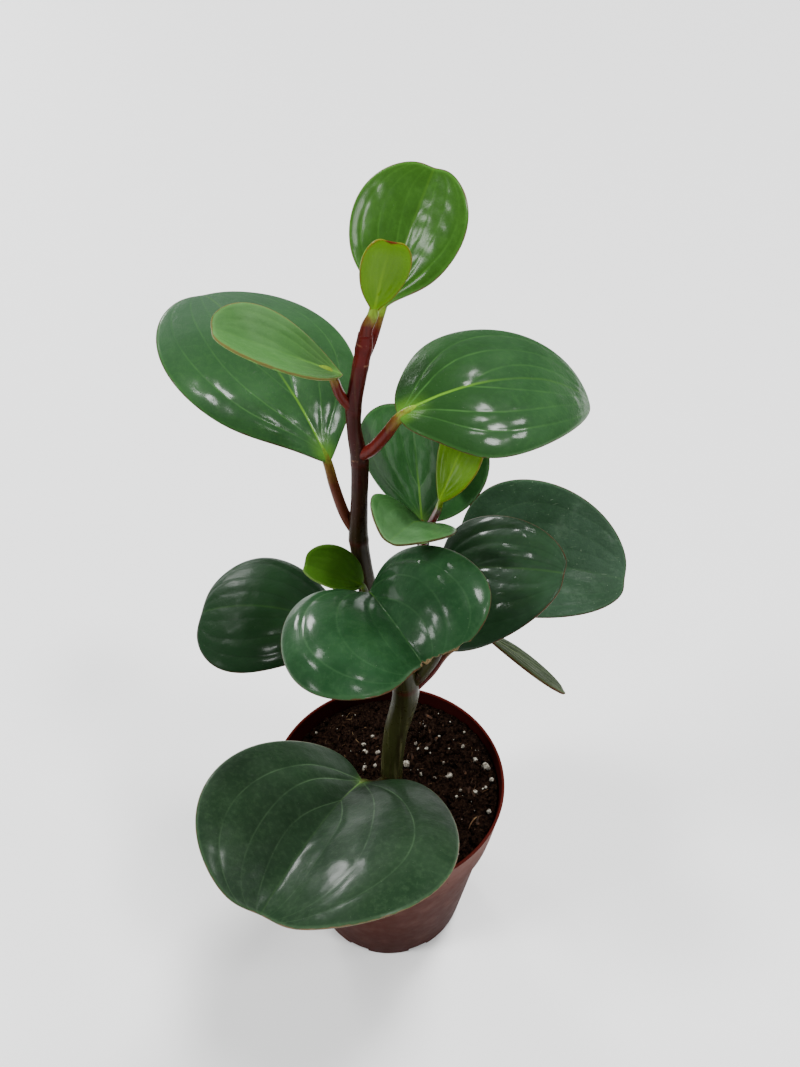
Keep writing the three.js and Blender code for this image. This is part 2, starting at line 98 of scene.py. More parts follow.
class Finish:
    """One material, built node by node"""

    def __init__(self, name, roughness, specular=0.5, **constants):
        self.material = bpy.data.materials.new(name)
        self.material.use_nodes = True
        self.nodes = self.material.node_tree.nodes
        self.links = self.material.node_tree.links
        self.shader = self.nodes["Principled BSDF"]
        self.shader.inputs["Roughness"].default_value = roughness
        self.shader.inputs["Specular IOR Level"].default_value = specular
        for socket, value in constants.items():
            self.shader.inputs[socket.replace("_", " ")].default_value = value
        self.relief = None

    def put(self, socket, value):
        if hasattr(value, "is_output"):
            self.links.new(value, socket)
        else:
            socket.default_value = value

    def place(self, stretch=(1, 1, 1), shift=(0, 0, 0)):
        """Object coordinates in millimetres, stretched by so much along each axis"""
        coordinates = self.nodes.new("ShaderNodeTexCoord")
        mapping = self.nodes.new("ShaderNodeMapping")
        self.links.new(coordinates.outputs["Object"], mapping.inputs["Vector"])
        mapping.inputs["Scale"].default_value = [1000 / s for s in stretch]
        mapping.inputs["Location"].default_value = shift
        return mapping.outputs["Vector"]

    def level(self, unit=MM):
        """Height above the ground, counted in a unit of so many metres"""
        coordinates = self.nodes.new("ShaderNodeTexCoord")
        split = self.nodes.new("ShaderNodeSeparateXYZ")
        self.links.new(coordinates.outputs["Object"], split.inputs["Vector"])
        return self.times(split.outputs["Z"], 1 / unit)

    def measure(self, name):
        node = self.nodes.new("ShaderNodeAttribute")
        node.attribute_name = name
        return node.outputs["Fac"]

    def clouds(self, size, detail=3, rough=0.55, stretch=(1, 1, 1), shift=(0, 0, 0)):
        """Soft noise whose patches are about so many millimetres across"""
        node = self.nodes.new("ShaderNodeTexNoise")
        self.links.new(self.place([size * s for s in stretch], shift), node.inputs["Vector"])
        node.inputs["Scale"].default_value = 1
        node.inputs["Detail"].default_value = detail
        node.inputs["Roughness"].default_value = rough
        return node.outputs["Fac"]

    def specks(self, size):
        """Distance from scattered points that lie about so many millimetres apart"""
        node = self.nodes.new("ShaderNodeTexVoronoi")
        self.links.new(self.place([size] * 3), node.inputs["Vector"])
        node.inputs["Scale"].default_value = 1
        return node.outputs["Distance"]

    def sum(self, operation, a, b=0.0):
        node = self.nodes.new("ShaderNodeMath")
        node.operation = operation
        self.put(node.inputs[0], a)
        self.put(node.inputs[1], b)
        return node.outputs["Value"]

    def times(self, a, b):
        return self.sum("MULTIPLY", a, b)

    def fade(self, value, start, end, low=0.0, high=1.0):
        """Goes smoothly from low at start to high at end"""
        node = self.nodes.new("ShaderNodeMapRange")
        node.interpolation_type = "SMOOTHSTEP"
        self.put(node.inputs["Value"], value)
        node.inputs["From Min"].default_value = start
        node.inputs["From Max"].default_value = end
        node.inputs["To Min"].default_value = low
        node.inputs["To Max"].default_value = high
        return node.outputs["Result"]

    def patches(self, size, low, high, detail=3):
        """Soft patches about so many millimetres across, with values from low to high"""
        return self.fade(self.clouds(size, detail=detail), 0.3, 0.7, low, high)

    def blend(self, share, first, second):
        node = self.nodes.new("ShaderNodeMix")
        node.data_type = "RGBA"
        self.put(node.inputs[0], share)
        self.put(node.inputs[6], first)
        self.put(node.inputs[7], second)
        return node.outputs[2]

    def ramp(self, value, stops):
        """Colours at their places from 0 to 1"""
        node = self.nodes.new("ShaderNodeValToRGB")
        self.put(node.inputs["Fac"], value)
        ends = node.color_ramp.elements
        while len(ends) < len(stops):
            ends.new(0.5)
        for end, (at, colour) in zip(ends, stops):
            end.position = at
            end.color = colour
        return node.outputs["Color"]

    def rise(self, height, share, depth):
        """Adds relief: height from 0 to 1, how strongly it shows and how deep it is in millimetres"""
        node = self.nodes.new("ShaderNodeBump")
        node.inputs["Strength"].default_value = share
        node.inputs["Distance"].default_value = depth * MM
        self.put(node.inputs["Height"], height)
        if self.relief is not None:
            self.links.new(self.relief, node.inputs["Normal"])
        self.relief = node.outputs["Normal"]

    def done(self, colour, roughness=None):
        self.put(self.shader.inputs["Base Color"], colour)
        if roughness is not None:
            self.put(self.shader.inputs["Roughness"], roughness)
        if self.relief is not None:
            self.links.new(self.relief, self.shader.inputs["Normal"])
        return self.material


def pot_plastic(name, colour, dust_and_sheen, low, rim):
    """Plastic that is darker low down and dusty with soil, with a painted sheen on the collar and a painted
    dark red glow of light through the thin rim
    """
    finish = Finish(name, roughness=0.6, specular=0.03)
    height = finish.level()
    body = finish.blend(finish.fade(height, 5, 86), low, colour)
    dust = finish.fade(finish.clouds(9), 0.45, 0.8, 0, 0.12)
    # Real dust in patches, plus a painted sheen on the collar from 64 to 84 mm up.
    body = finish.blend(finish.sum("ADD", dust, finish.fade(height, *COLLAR_DUST_AND_SHEEN, 0, 0.3)), body, dust_and_sheen)
    scuffs = finish.fade(finish.clouds(1.1, detail=4, stretch=(1, 1, 9)), 0.62, 0.78, 0, 0.06)
    body = finish.blend(scuffs, body, dust_and_sheen)
    # Painted light: a dark red band along the rim's edge, where light glows through the thin plastic.
    edge = finish.sum("ADD", height, finish.patches(4, -0.25, 0.25))
    body = finish.blend(finish.fade(edge, *RIM_GLOW_BAND, 0, 0.9), body, rim)
    crumbs = finish.fade(finish.specks(4.4), 0.05, 0.09, 1, 0)
    body = finish.blend(crumbs, body, tint(30, 17, 13))
    finish.rise(finish.clouds(0.55, detail=2), 0.2, 0.04)
    finish.rise(crumbs, 0.6, 0.25)
    return finish.done(body, finish.patches(3.5, 0.58, 0.64))


clear_selection()
radius, height = POT_PROFILE[0]
bpy.ops.mesh.primitive_circle_add(
    vertices=POT_SIDES, radius=radius * MM, fill_type="NGON", location=(0, 0, height * MM)
)
pot = bpy.context.object
pot.name = "nursery_pot"
bpy.ops.object.transform_apply(location=True)
bpy.ops.object.mode_set(mode="EDIT")
bpy.ops.mesh.select_all(action="SELECT")
for next_radius, next_height in POT_PROFILE[1:]:
    lift = (next_height - height) * MM
    bpy.ops.mesh.extrude_region_move(TRANSFORM_OT_translate={"value": (0, 0, lift)})
    share = next_radius / radius
    bpy.ops.transform.resize(value=(share, share, 1), center_override=(0, 0, next_height * MM))
    radius, height = next_radius, next_height
bpy.ops.mesh.select_all(action="SELECT")
bpy.ops.mesh.normals_make_consistent(inside=False)
bpy.ops.object.mode_set(mode="OBJECT")

slot_cutters = []
for i in range(DRAIN_SLOTS):
    turn = 2 * math.pi * (i + 0.5) / DRAIN_SLOTS
    clear_selection()
    bpy.ops.mesh.primitive_cube_add(
        size=1,
        scale=[side * MM for side in SLOT_SIZE],
        rotation=(0, 0, turn),
        location=(SLOT_REACH * MM * math.cos(turn), SLOT_REACH * MM * math.sin(turn), 0),
    )
    slot_cutters.append(bpy.context.object)
slots = joined(slot_cutters)
only(pot)
drains = pot.modifiers.new("drain slots", "BOOLEAN")
drains.object = slots
drains.operation = "DIFFERENCE"
drains.solver = "EXACT"
bpy.ops.object.modifier_apply(modifier=drains.name)
bpy.data.objects.remove(slots)
bpy.ops.object.shade_smooth_by_angle(angle=math.radians(SHARP_ANGLE))

# The rim's painted glow of light through the thin plastic, used outside and inside.
painted_rim_glow = tint(64, 15, 10)
pot.data.materials.append(
    pot_plastic("moulded_plastic", tint(69, 32, 23), tint(124, 88, 79), tint(49, 19, 13), painted_rim_glow)
)
# The inside: a darker, redder copy of the plastic, painted shade with the painted red of light shining
# through the thin wall.
pot.data.materials.append(
    pot_plastic("inside_plastic_painted_shade", tint(38, 5, 5), tint(36, 15, 12), tint(14, 2, 2), painted_rim_glow)
)
for face in pot.data.polygons:
    middle = face.center
    inward = face.normal.x * middle.x + face.normal.y * middle.y < 0
    face.material_index = 1 if inward and middle.z > INSIDE_FROM * MM else 0
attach(pot, "root")
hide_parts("pot")


# The peat soil: nearly black, crumbly and moist, pressed into the pot up to 6 mm below its rim, a
# little higher at the right and round the stem. It fills the pot down to its floor.
SOIL_LEVEL = 81.5
SOIL_MOUND = 1
SOIL_RISE = 2
SOIL_RADIUS = 47.9
SOIL_ROOM = 47.4
STEM_HOLE = {"x": 1.3, "radius": 4.4, "depth": 3}
PEAT_GRID = 230
PEAT_CRUMBS = 900
CRUMB_REACH = 45
ANY_TURN = 6.28
PEAT_FOOT = [(76, 46.9), (67.1, 45.6), (65.6, 43.8), (1.9, 33.5)]


def soil_height(x, y):
    """The uneven surface in millimetres, without its crumbs"""
    out = math.hypot(x, y) / SOIL_RADIUS
    lumps = math.sin(x / 5.1 + 1) * math.sin(y / 4.3) + math.sin((x - y) / 3.2) / 2
    level = SOIL_LEVEL + SOIL_RISE * x / SOIL_RADIUS + SOIL_MOUND * (1 - out * out)
    return level + 0.45 * lumps * (1 - out**4)


def peat_finish(name, dark, brown, tan):
    finish = Finish(name, roughness=0.85, specular=0.03)
    colour = finish.blend(finish.fade(finish.clouds(1.1, detail=6, rough=0.75), 0.4, 0.66), dark, brown)
    flecks = finish.fade(finish.clouds(0.4, detail=3, stretch=(2.5, 1, 2)), 0.66, 0.74, 0, 0.6)
    colour = finish.blend(flecks, colour, tan)
    finish.rise(finish.clouds(0.35, detail=4, rough=0.7), 0.9, 0.3)
    return finish.done(colour)


def from_points(name, points, faces, material, smooth=True):
    """A piece made of a list of points and faces"""
    mesh = bpy.data.meshes.new(name)
    mesh.from_pydata([tuple(p) for p in points], [], [tuple(int(i) for i in f) for f in faces])
    mesh.validate()
    piece = bpy.data.objects.new(name, mesh)
    bpy.context.scene.collection.objects.link(piece)
    mesh.materials.append(material)
    for face in mesh.polygons:
        face.use_smooth = smooth
    return piece


def small_ball(subdivisions):
    """Points and faces of a ball of radius 1, to be copied many times over"""
    clear_selection()
    bpy.ops.mesh.primitive_ico_sphere_add(subdivisions=subdivisions, radius=1)
    ball = bpy.context.object
    points = np.array([v.co[:] for v in ball.data.vertices])
    faces = np.array([f.vertices[:] for f in ball.data.polygons])
    bpy.data.objects.remove(ball)
    return points, faces


def strew(name, shapes, material, smooth=True):
    """Fuses many small shapes, each a pair of points in millimetres and faces, into one piece"""
    points, faces, count = [], [], 0
    for shape, shape_faces in shapes:
        points.append(shape)
        faces.append(shape_faces + count)
        count += len(shape)
    return from_points(name, np.concatenate(points) * MM, np.concatenate(faces), material, smooth)


def scattered(draw, reach, least):
    """A random place on the soil, up to so far from the pot's axis"""
    turn, out = draw.uniform(0, ANY_TURN), reach * math.sqrt(draw.uniform(least, 1))
    return out * math.cos(turn), out * math.sin(turn)


def rough_lump(ball, size, knobbly, draw):
    """A copy of the ball made uneven, stretched to size and turned at random"""
    points, faces = ball
    seed = Vector([draw.uniform(0, 90) for _ in range(3)])
    swell = [1 + knobbly * noise.noise(Vector(p) * 1.6 + seed) for p in points]
    lump = points * np.array(swell)[:, None] * np.array(size)
    turn = Euler([draw.uniform(0, ANY_TURN) for _ in range(3)]).to_matrix()
    return lump @ np.array(turn).T, faces


clear_selection()
bpy.ops.mesh.primitive_grid_add(x_subdivisions=PEAT_GRID, y_subdivisions=PEAT_GRID, size=2)
peat = bpy.context.object
peat.name = "peat_soil"
spots = np.array([v.co[:2] for v in peat.data.vertices])
reach = np.abs(spots).max(axis=1)
length = np.hypot(*spots.T)
spots *= (reach / np.maximum(length, 1e-9))[:, None] * SOIL_ROOM
surface = []
for x, y in spots:
    out = min(1, math.hypot(x, y) / SOIL_ROOM)
    coarse = noise.fractal(Vector((x, y, 3)) * 0.3, 1, 2, 4)
    cells = noise.voronoi(Vector((x, y, 0)) * 0.5)[0]
    fine = noise.fractal(Vector((x, y, 7)) * 1.3, 1, 2, 3)
    z = soil_height(x, y) + 0.9 * coarse + 0.95 * (0.6 - cells[0]) + 0.4 * fine
    sunk = STEM_HOLE["depth"] * max(0, 1 - math.hypot(x - STEM_HOLE["x"], y) / STEM_HOLE["radius"])
    surface.append((x * MM, y * MM, (z - sunk - 0.7 * out**12) * MM))
peat.data.vertices.foreach_set("co", np.array(surface).ravel())
peat.data.update()
only(peat)
bpy.ops.object.mode_set(mode="EDIT")
bpy.ops.mesh.select_all(action="SELECT")
bpy.ops.mesh.region_to_loop()
radius = SOIL_ROOM
for level, next_radius in PEAT_FOOT:
    bpy.ops.mesh.extrude_region_move(TRANSFORM_OT_translate={"value": (0, 0, -MM)})
    share = next_radius / radius
    bpy.ops.transform.resize(value=(share, share, 0), center_override=(0, 0, level * MM))
    radius = next_radius
bpy.ops.mesh.edge_face_add()
bpy.ops.mesh.select_all(action="SELECT")
bpy.ops.mesh.normals_make_consistent(inside=False)
bpy.ops.object.mode_set(mode="OBJECT")
bpy.ops.object.shade_smooth()
peat_brown = peat_finish("moist_peat", tint(3, 1, 1), tint(34, 22, 15), tint(106, 84, 64))
peat.data.materials.append(peat_brown)

draw = random.Random(7)
ball = small_ball(2)
crumbs = []
for i in range(PEAT_CRUMBS):
    x, y = scattered(draw, CRUMB_REACH, 0.004)
    size = 0.4 + 1.5 * draw.random() ** 2.6
    lump, faces = rough_lump(ball, [size, size * draw.uniform(0.6, 1), size * 0.7], 0.9, draw)
    crumbs.append((lump + (x, y, soil_height(x, y) + draw.uniform(-0.1, 0.5)), faces))
peat_crumbs = strew("peat_crumbs", crumbs, peat_brown)
for piece in (peat, peat_crumbs):
    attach(piece, "root")
    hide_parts("soil")


# Perlite: grains of puffed white volcanic glass that are mixed into the peat, with rough pitted
# faces and brown dust on them.
LARGE_GRAINS = [
    (8, 8.5, 1.6), (26.5, 2, 1.6), (20, 1.5, 1.1), (14.5, 4, 1.1), (38.5, 10.5, 1.2), (43, 7, 1.9),
    (45, 0.5, 1.1), (37.5, -5.5, 1.1), (42.5, -15, 1.1), (33.5, 18.5, 0.9), (24.5, 9.5, 0.9),
    (-10.5, 16, 1.3), (-5, 15.5, 1.2), (-10.5, 8, 1), (-6, 8.5, 0.9), (-7.5, 24.5, 0.9), (17, 17, 0.9),
    (16.5, 25.5, 1), (-11.5, 20, 1), (-24, 12, 1.3), (-30, -8, 1.2), (12, -22, 1.3),
]
SMALL_GRAINS = 100
GRAIN_REACH = 44.5

perlite_white = Finish("puffed_perlite", roughness=0.85, specular=0.25)
stain = perlite_white.fade(perlite_white.clouds(1.1, detail=4, rough=0.65), 0.38, 0.6, 0, 0.9)
grain_colour = perlite_white.blend(stain, tint(166, 162, 150), tint(60, 46, 36))
perlite_white.rise(perlite_white.clouds(0.35, detail=3), 0.8, 0.25)
perlite_material = perlite_white.done(grain_colour)

draw = random.Random(12)
ball = small_ball(2)
grains = []
for x, y, size in LARGE_GRAINS:
    lump, faces = rough_lump(ball, [size, size * draw.uniform(0.75, 1), size * 0.8], 0.75, draw)
    grains.append((lump + (x, y, soil_height(x, y) + 0.45 * size), faces))
for i in range(SMALL_GRAINS):
    x, y = scattered(draw, GRAIN_REACH, 0.01)
    size = 0.22 + 0.7 * draw.random() ** 3
    lump, faces = rough_lump(ball, [size, size * draw.uniform(0.7, 1), size * 0.75], 0.8, draw)
    grains.append((lump + (x, y, soil_height(x, y) + 0.35 + 0.3 * size), faces))
perlite = strew("perlite_grains", grains, perlite_material)
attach(perlite, "root")
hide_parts("soil")


# Bark chips and peat fibres: torn splinters of conifer bark, straw-coloured bits of stalk and thin
# root threads that lie crosswise in the top of the soil.
BARK_CHIPS = 46
CHIP_REACH = 43
CHIP_FLATNESS = 0.75
STRAWS = [(35, -20, 55, 7, 0.3), (8.5, 13, 80, 3.4, 0.2), (-20, 3, 20, 4, 0.25)]
FIBRES = 90
FIBRE_REACH = 42.5
THREAD_SIDES = 6
THREAD_RINGS = 9

bark = Finish("bark_brown", roughness=0.8, specular=0.2)
bark.rise(bark.clouds(0.5, detail=4, stretch=(3, 1, 1)), 0.8, 0.3)
bark_shade = bark.ramp(
    bark.clouds(2.4, detail=4), [(0.3, tint(12, 7, 5)), (0.55, tint(42, 25, 15)), (0.8, tint(84, 56, 34))]
)
bark_brown = bark.done(bark_shade)
straw = Finish("dry_straw", roughness=0.7, specular=0.2)
straw_shade = straw.ramp(
    straw.clouds(5, detail=2),
    [(0.35, tint(34, 22, 14)), (0.55, tint(78, 54, 34)), (0.75, tint(150, 124, 88))],
)
straw_pale = straw.done(straw_shade)


def thread(start, heading, length, thickness, sag, draw):
    """A bent thread that lies on the soil, thin at both ends"""
    points, faces = [], []
    bow = draw.uniform(-0.5, 0.5)
    for i in range(THREAD_RINGS):
        along = i / (THREAD_RINGS - 1)
        angle = heading + bow * (along - 0.5)
        x = start[0] + (along - 0.5) * length * math.cos(angle)
        y = start[1] + (along - 0.5) * length * math.sin(angle)
        z = soil_height(x, y) + 0.55 + sag * math.sin(math.pi * along)
        radius = thickness * (0.25 + 0.75 * math.sin(math.pi * min(1, max(0, along))) ** 0.5)
        for j in range(THREAD_SIDES):
            turn = 2 * math.pi * j / THREAD_SIDES
            side = radius * math.cos(turn)
            points.append(
                (x - side * math.sin(angle), y + side * math.cos(angle), z + radius * math.sin(turn))
            )
            if i:
                here = (i - 1) * THREAD_SIDES + j
                there = (i - 1) * THREAD_SIDES + (j + 1) % THREAD_SIDES
                over, beyond = here + THREAD_SIDES, there + THREAD_SIDES
                faces += [(here, there, beyond), (here, beyond, over)]
    last = (THREAD_RINGS - 1) * THREAD_SIDES
    for j in range(1, THREAD_SIDES - 1):
        faces += [(0, j + 1, j), (last, last + j, last + j + 1)]
    return np.array(points), np.array(faces)


draw = random.Random(23)
ball = small_ball(2)
chips = []
for i in range(BARK_CHIPS):
    x, y = scattered(draw, CHIP_REACH, 0.02)
    long_side = draw.uniform(1.2, 2.9)
    points, faces = ball
    seed = Vector([draw.uniform(0, 90) for _ in range(3)])
    swell = np.array([1 + 0.7 * noise.noise(Vector(p) * 2 + seed) for p in points])
    chip = np.clip(points * swell[:, None], -CHIP_FLATNESS, CHIP_FLATNESS)
    chip = chip * (long_side, draw.uniform(0.5, 1), 0.45)
    tilt = Euler((draw.uniform(-0.4, 0.4), draw.uniform(-0.35, 0.35), draw.uniform(0, 3.14)))
    chip = chip @ np.array(tilt.to_matrix()).T
    chips.append((chip + (x, y, soil_height(x, y) + 0.35), faces))
bark_chips = strew("bark_chips", chips, bark_brown, smooth=False)
threads = []
for x, y, heading, length, thickness in STRAWS:
    threads.append(thread((x, y), math.radians(heading), length, thickness, 0.5, draw))
for i in range(FIBRES):
    start = scattered(draw, FIBRE_REACH, 0.01)
    threads.append(
        thread(start, draw.uniform(0, 3.14), draw.uniform(1.5, 3.8), draw.uniform(0.05, 0.12), 0.3, draw)
    )
fibres = strew("peat_fibres", threads, straw_pale)
for piece in (bark_chips, fibres):
    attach(piece, "root")
    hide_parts("soil")


# The stems: fleshy, round and smooth, olive with pale streaks near the soil and dark maroon higher
# up. Every leaf stalk leaves a swollen ring where it joins. The side shoot grows from the fork.
MAIN_STEM = [
    (1.0, 0, 54, 4.7), (1.4, 0, 82, 4.7), (1.7, 0, 98, 4.7), (3.4, 0, 118, 4.9), (7.3, 0, 142, 5.3),
    (5.6, 0, 156, 4.5), (0.4, 0, 172, 3.8), (-5.2, 0, 190, 3.6), (-7.4, 0, 205, 3.1),
    (-8.8, 0, 218, 3.4), (-8.1, 0, 234, 2.8), (-7.6, 0, 248, 2.9), (-8.9, 0, 260, 2.3),
    (-8.7, 0, 268, 2.5), (-6.6, 0, 279, 2.4), (-5.3, 0, 286, 2.5), (-4.7, 0, 290, 2.2),
]
SIDE_SHOOT = [
    (7.6, 0, 145, 2.9), (14.2, 0.4, 154, 2.7), (19.6, 2.0, 166, 2.6), (18.4, 4.4, 183, 2.4),
    (14.2, 5.2, 198, 2.2), (12.8, 4.6, 210, 2.1), (13.4, 3.4, 219, 2.2),
]
MAIN_RINGS = [90, 146, 160, 188.5, 217.5, 248.5, 266, 280, 285.5]
SIDE_RINGS = [151, 184, 190, 210.5, 216]
FINE_STEPS = 40
STEM_SIDES = 40
COLOUR_SPAN = 0.3


def grown_line(knots, steps):
    """Points evenly spaced along a smooth curve through the knots, and where each lies among them"""
    knots = np.array(knots, float)
    ends = np.vstack([2 * knots[0] - knots[1], knots, 2 * knots[-1] - knots[-2]])
    fine, places = [], []
    for i in range(len(knots) - 1):
        p0, p1, p2, p3 = ends[i : i + 4]
        d0, d1, d2 = (max(1e-6, np.linalg.norm(b - a) ** 0.5) for a, b in ((p0, p1), (p1, p2), (p2, p3)))
        m1 = ((p1 - p0) / d0 - (p2 - p0) / (d0 + d1) + (p2 - p1) / d1) * d1
        m2 = ((p2 - p1) / d1 - (p3 - p1) / (d1 + d2) + (p3 - p2) / d2) * d1
        for share in np.arange(FINE_STEPS) / FINE_STEPS:
            t2, t3 = share**2, share**3
            fine.append(
                p1 + m1 * share + (3 * (p2 - p1) - 2 * m1 - m2) * t2 + (2 * (p1 - p2) + m1 + m2) * t3
            )
            places.append(i + share)
    fine.append(knots[-1])
    places.append(len(knots) - 1)
    fine = np.array(fine)
    run = np.concatenate([[0], np.cumsum(np.linalg.norm(np.diff(fine, axis=0), axis=1))])
    even = np.linspace(0, run[-1], steps + 1)
    line = np.stack([np.interp(even, run, fine[:, k]) for k in range(3)], axis=1)
    return line, np.interp(even, run, places), even


def unit(vectors):
    return vectors / np.maximum(np.linalg.norm(vectors, axis=-1, keepdims=True), 1e-12)


def grow_skin(name, columns, rows, points, measures):
    """A grid of faces, columns round by rows along, whose points are moved to their places"""
    clear_selection()
    bpy.ops.mesh.primitive_grid_add(x_subdivisions=columns, y_subdivisions=rows, size=2)
    skin = bpy.context.object
    skin.name = name
    skin.data.vertices.foreach_set("co", (points.reshape(-1, 3) * MM).ravel())
    for measure, values in measures.items():
        held = skin.data.attributes.new(measure, "FLOAT", "POINT")
        held.data.foreach_set("value", np.ascontiguousarray(values, float).ravel())
    while skin.data.uv_layers:
        skin.data.uv_layers.remove(skin.data.uv_layers[0])
    skin.data.update()
    return skin


def close_seams(skin):
    only(skin)
    bpy.ops.object.mode_set(mode="EDIT")
    bpy.ops.mesh.select_all(action="SELECT")
    bpy.ops.mesh.remove_doubles(threshold=1e-6)
    bpy.ops.object.mode_set(mode="OBJECT")
    bpy.ops.object.shade_smooth()


def grow_tube(name, line, radii, sides, up, flatten=None, relief=None, measures=None):
    """A closed round stem along a line. up is the direction of its upper side; flatten gives how
    much lower than wide it is at each ring."""
    rings = len(line)
    forward = unit(np.gradient(line, axis=0))
    side = unit(np.cross(np.broadcast_to(up, forward.shape), forward))
    over = np.cross(forward, side)
    around = np.linspace(0, 2 * math.pi, sides + 1)
    flatten = np.ones(rings) if flatten is None else flatten
    radius = np.repeat(radii[:, None], sides + 1, axis=1)
    if relief is not None:
        radius = radius + relief(around, np.arange(rings))
    points = (
        line[:, None]
        + side[:, None] * (radius * np.cos(around))[..., None]
        + over[:, None] * (radius * np.sin(around) * flatten[:, None])[..., None]
    )
    first, last = line[0] - forward[0] * radii[0] * 0.25, line[-1] + forward[-1] * radii[-1] * 0.35
    caps = [np.repeat(centre[None, None], sides + 1, axis=1) for centre in (first, last)]
    points = np.concatenate([caps[0], points, caps[1]])
    held = {}
    for measure, values in (measures or {}).items():
        column = np.concatenate([values[:1], values, values[-1:]])
        held[measure] = np.repeat(column[:, None], sides + 1, axis=1)
    tube = grow_skin(name, sides, rings + 1, points, held)
    close_seams(tube)
    return tube


def stem_finish(name):
    finish = Finish(name, roughness=0.3, specular=0.1)
    height = finish.sum("ADD", finish.level(COLOUR_SPAN), finish.patches(9, -0.02, 0.02))
    colour = finish.ramp(
        height,
        [
            (0.26, tint(44, 48, 22)), (0.45, tint(48, 48, 24)), (0.62, tint(40, 38, 13)),
            (0.71, tint(42, 33, 14)), (0.80, tint(42, 18, 12)), (0.88, tint(50, 12, 10)),
            (0.97, tint(84, 20, 18)),
        ],
    )
    streaks = finish.clouds(1.5, detail=4, rough=0.6, stretch=(1, 1, 26))
    pale = finish.fade(streaks, 0.54, 0.74)
    pale = finish.times(pale, finish.fade(height, 0.4, 0.7, 0.75, 0.12))
    colour = finish.blend(pale, colour, tint(100, 98, 64))
    dark = finish.clouds(1.9, detail=3, stretch=(1, 1, 18), shift=(40, 0, 0))
    colour = finish.blend(finish.fade(dark, 0.5, 0.7, 0, 0.5), colour, tint(30, 14, 10))
    dots = finish.fade(finish.specks(1.7), 0.06, 0.13, 0.2, 0)
    colour = finish.blend(dots, colour, tint(130, 100, 76))
    ring = finish.times(finish.measure("ring"), finish.patches(3, 0.1, 0.75))
    colour = finish.blend(ring, colour, tint(66, 16, 14))
    broken = finish.fade(finish.clouds(2.6, detail=2), 0.48, 0.62, 0, 0.5)
    scar = finish.times(finish.fade(finish.measure("scar"), 0.3, 0.9), broken)
    colour = finish.blend(scar, colour, tint(140, 100, 76))
    finish.rise(streaks, 0.5, 0.25)
    finish.rise(finish.clouds(0.4, detail=3), 0.25, 0.08)
    return finish.done(colour, finish.patches(2.2, 0.26, 0.44))


stem_skin = stem_finish("stem_skin")


def grow_stem(name, knots, rings_at, node, steps, seed):
    """A stem with a swollen ring and a thin pale scar at each height where a stalk joins it"""
    knots = np.array(knots)
    line, places, run = grown_line(knots[:, :3], steps)
    radii = np.interp(places, np.arange(len(knots)), knots[:, 3])
    height = line[:, 2]
    ring, scar = np.zeros(steps + 1), np.zeros(steps + 1)
    for at in rings_at:
        ring = np.maximum(ring, np.exp(-(((height - at) / 1.1) ** 2)))
        scar = np.maximum(scar, np.exp(-(((height - at - 1.5) / 0.28) ** 2)))
    radii = radii + 0.12 * ring + 0.06 * scar - 0.1
    draw = random.Random(seed)
    phases = [draw.uniform(0, ANY_TURN) for _ in range(3)]
    low = np.clip((170 - height) / 60, 0.25, 1)

    def relief(around, rows):
        ribs = np.zeros((len(rows), len(around)))
        for waves, phase in zip((5, 9, 14), phases):
            drift = 0.5 * np.sin(run[rows] / 23 + phase)
            ribs += np.sin(waves * around[None] + phase + drift[:, None]) / waves
        return ribs * 0.42 * low[rows, None]

    back = np.array([0, 1.0, 0])
    measures = {"ring": ring, "scar": scar}
    stem = grow_tube(name, line, radii, STEM_SIDES, back, relief=relief, measures=measures)
    stem.data.materials.append(stem_skin)
    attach(stem, "root")
    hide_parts(node)


grow_stem("fleshy_stem", MAIN_STEM, MAIN_RINGS, "main_stem", 330, 3)
grow_stem("forked_shoot", SIDE_SHOOT, SIDE_RINGS, "side_shoot", 150, 5)


# The leaves: fleshy blades about a millimetre thick, waxy and glossy above and paler beneath, with
# a lime midrib, arched veins from base to tip, and a thin red margin. Each grows from the stem on
# its own fleshy red stalk, which turns lime where it spreads under the blade.
BLADE_THICKNESS = 1.15
MARGIN_ROUNDING = 0.9
FOLD_SOFTNESS = 0.12
NECK_REACH = 0.16
LOBE_REACH = 0.06
NOTCH_REACH = 0.012
VEIN_NAMES = ("inner_vein", "middle_vein", "outer_vein")
VEIN_STARTS = (0.3, 0, 0)
VEIN_SPREADS = (0.2, 0.26, 0.18)
WAVES = ((0.42, 17), (0.15, 5), (0.05, 2.3))
TATTER = 2.6
STALK_SIDES = 24
STALK_STEPS = 44
LARGE = (104, 116)
SMALL = (70, 84)
PLAIN_LEAF = {
    "neck": 0, "lobe": 0, "notch": 1, "uneven": 0, "fold": 0, "curl": 0, "bend": 0, "twist": 0,
    "veins": (0.27, 0.55, 0.8), "puff": 0.12, "smooth_to": 0.22, "wavy": 1, "torn": 0, "joins_at": 0.01,
}


def blade_edge(leaf, along):
    """Distance along and half width of the flat blade's edge"""
    base_taper, tip_taper = leaf["tapers"]
    widest = base_taper / (base_taper + tip_taper)

    def swell(share):
        return share**base_taper * (1 - share) ** tip_taper

    neck = 1 - leaf["neck"] * np.exp(-((along / NECK_REACH) ** 2))
    lobe = leaf["lobe"] * (along / LOBE_REACH) * np.exp(1 - along / LOBE_REACH)
    notch = leaf["notch"] * np.exp(-(1 - along) / NOTCH_REACH)
    return leaf["length"] * along - lobe - notch, leaf["width"] / 2 * swell(along) * neck / swell(widest)


